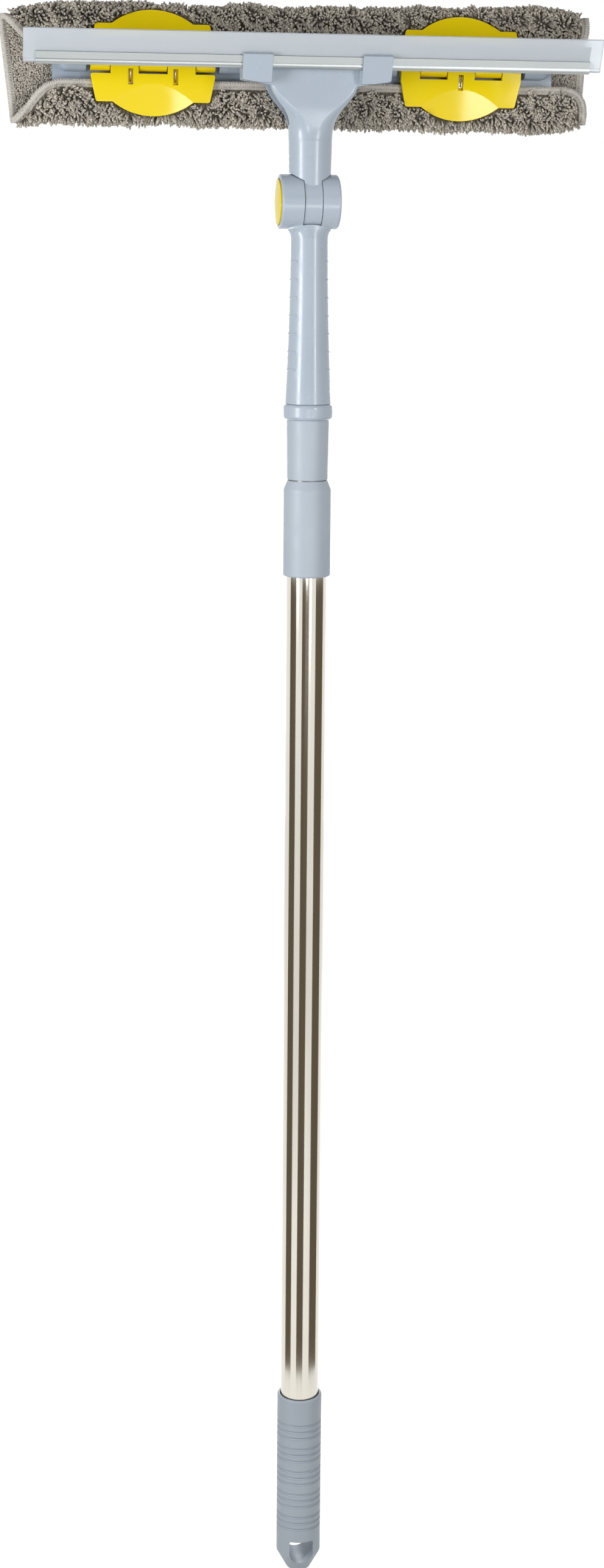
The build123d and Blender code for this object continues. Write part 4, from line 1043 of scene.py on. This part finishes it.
def lay_floor():
    """A matte painted floor under the grip's end, lifted to white where it is seen, with a soft shadow."""
    bpy.ops.object.select_all(action="DESELECT")
    bpy.ops.mesh.primitive_plane_add(size=2 * FLOOR_HALF, location=(0, 0, cad_box[0].z))
    floor = bpy.context.object
    floor.name = "floor"
    material, tree, output = new_material("painted_floor_pale")
    place = add(tree, "ShaderNodeTexCoord").outputs["Object"]
    away = add(tree, "ShaderNodeVectorMath", {0: place}, operation="LENGTH")
    level = add(
        tree,
        "ShaderNodeMapRange",
        {
            "Value": away.outputs["Value"],
            "From Min": FLOOR_NEAR,
            "From Max": FLOOR_FAR,
            "To Min": FLOOR_LIFT_NEAR,
            "To Max": FLOOR_LIFT_FAR,
        },
    )
    lift = add(tree, "ShaderNodeMath", {0: seen_rays(tree), 1: level.outputs["Result"]}, operation="MULTIPLY")
    shader = add(
        tree,
        "ShaderNodeBsdfPrincipled",
        {
            "Base Color": linear(FLOOR_COLOUR),
            "Roughness": 0.8,
            "Specular IOR Level": 0.1,
            "Emission Color": linear("#FFFFFF"),
            "Emission Strength": lift.outputs["Value"],
        },
    )
    tree.links.new(shader.outputs["BSDF"], output.inputs["Surface"])
    floor.data.materials.append(material)


def around_camera(angle, distance, height):
    """A point round the pole, by its angle to the right of the camera."""
    a = math.radians(CAMERA_AZIMUTH + angle)
    return Vector((distance * math.sin(a), -distance * math.cos(a), height))


def hang_soft_box(name, angle, distance, width, low, high, watts):
    """A soft box at an angle from the camera, between two heights, facing the pole."""
    lamp = bpy.data.lights.new(name, "AREA")
    lamp.shape = "RECTANGLE"
    lamp.size = width
    lamp.size_y = high - low
    lamp.energy = watts
    box = bpy.data.objects.new(name, lamp)
    bpy.context.scene.collection.objects.link(box)
    box.location = around_camera(angle, distance, (low + high) / 2)
    facing = Vector((box.location.x, box.location.y, 0))
    box.rotation_euler = facing.to_track_quat("Z", "Y").to_euler()
    box.visible_camera = False


def hang_screen(name, start, end, radius, bottom, top):
    """A dark studio screen between two angles and two heights, which only a mirror shows."""
    steps = round((end - start) / SCREEN_STEP)
    angles = [start + (end - start) * i / steps for i in range(steps + 1)]
    low = [around_camera(a, radius, bottom) for a in angles]
    high = [around_camera(a, radius, top) for a in angles]
    mesh = bpy.data.meshes.new(name)
    count = len(angles)
    mesh.from_pydata(low + high, [], [(i, i + 1, count + i + 1, count + i) for i in range(steps)])
    screen = bpy.data.objects.new(name, mesh)
    bpy.context.scene.collection.objects.link(screen)
    material, tree, output = new_material("studio_cloth_dark")
    glow = add(tree, "ShaderNodeEmission", {"Color": linear(SCREEN_COLOUR), "Strength": 1.0})
    tree.links.new(glow.outputs["Emission"], output.inputs["Surface"])
    mesh.materials.append(material)
    screen.visible_camera = False
    screen.visible_diffuse = False
    screen.visible_transmission = False
    screen.visible_shadow = False


def set_camera():
    """The camera as the photograph's stood: a little to the left and above, rolled by half a degree."""
    camera = bpy.data.objects.new("camera", bpy.data.cameras.new("camera"))
    bpy.context.scene.collection.objects.link(camera)
    bpy.context.scene.camera = camera
    camera.data.sensor_width = SENSOR
    camera.data.lens = SENSOR * FOCAL_PIXELS / IMAGE_HEIGHT
    camera.data.shift_x = -AIM_PIXELS_RIGHT / IMAGE_HEIGHT
    azimuth, elevation, roll = (math.radians(a) for a in (CAMERA_AZIMUTH, CAMERA_ELEVATION, CAMERA_ROLL))
    back = Vector(
        (
            math.sin(azimuth) * math.cos(elevation),
            -math.cos(azimuth) * math.cos(elevation),
            math.sin(elevation),
        )
    )
    level = Vector((0, 0, 1)).cross(back).normalized()
    upright = back.cross(level)
    right = math.cos(roll) * level + math.sin(roll) * upright
    up = math.cos(roll) * upright - math.sin(roll) * level
    turn = Matrix((right, up, back)).transposed().to_4x4()
    camera.matrix_world = Matrix.Translation(Vector((0, 0, AIM_HEIGHT)) + back * CAMERA_DISTANCE) @ turn


finish_frame()
make_cloth()
split_clamp_spring("left", "left_lower_flap", "left_upper_flap", DOWN)
split_clamp_spring("right", "right_upper_flap", "right_lower_flap", UP)
press_lock_spring()
light_world()
lay_floor()
for box in SOFT_BOXES:
    hang_soft_box(*box)
for screen in SCREENS:
    hang_screen(*screen)
set_camera()

bpy.context.scene.view_settings.view_transform = "Standard"
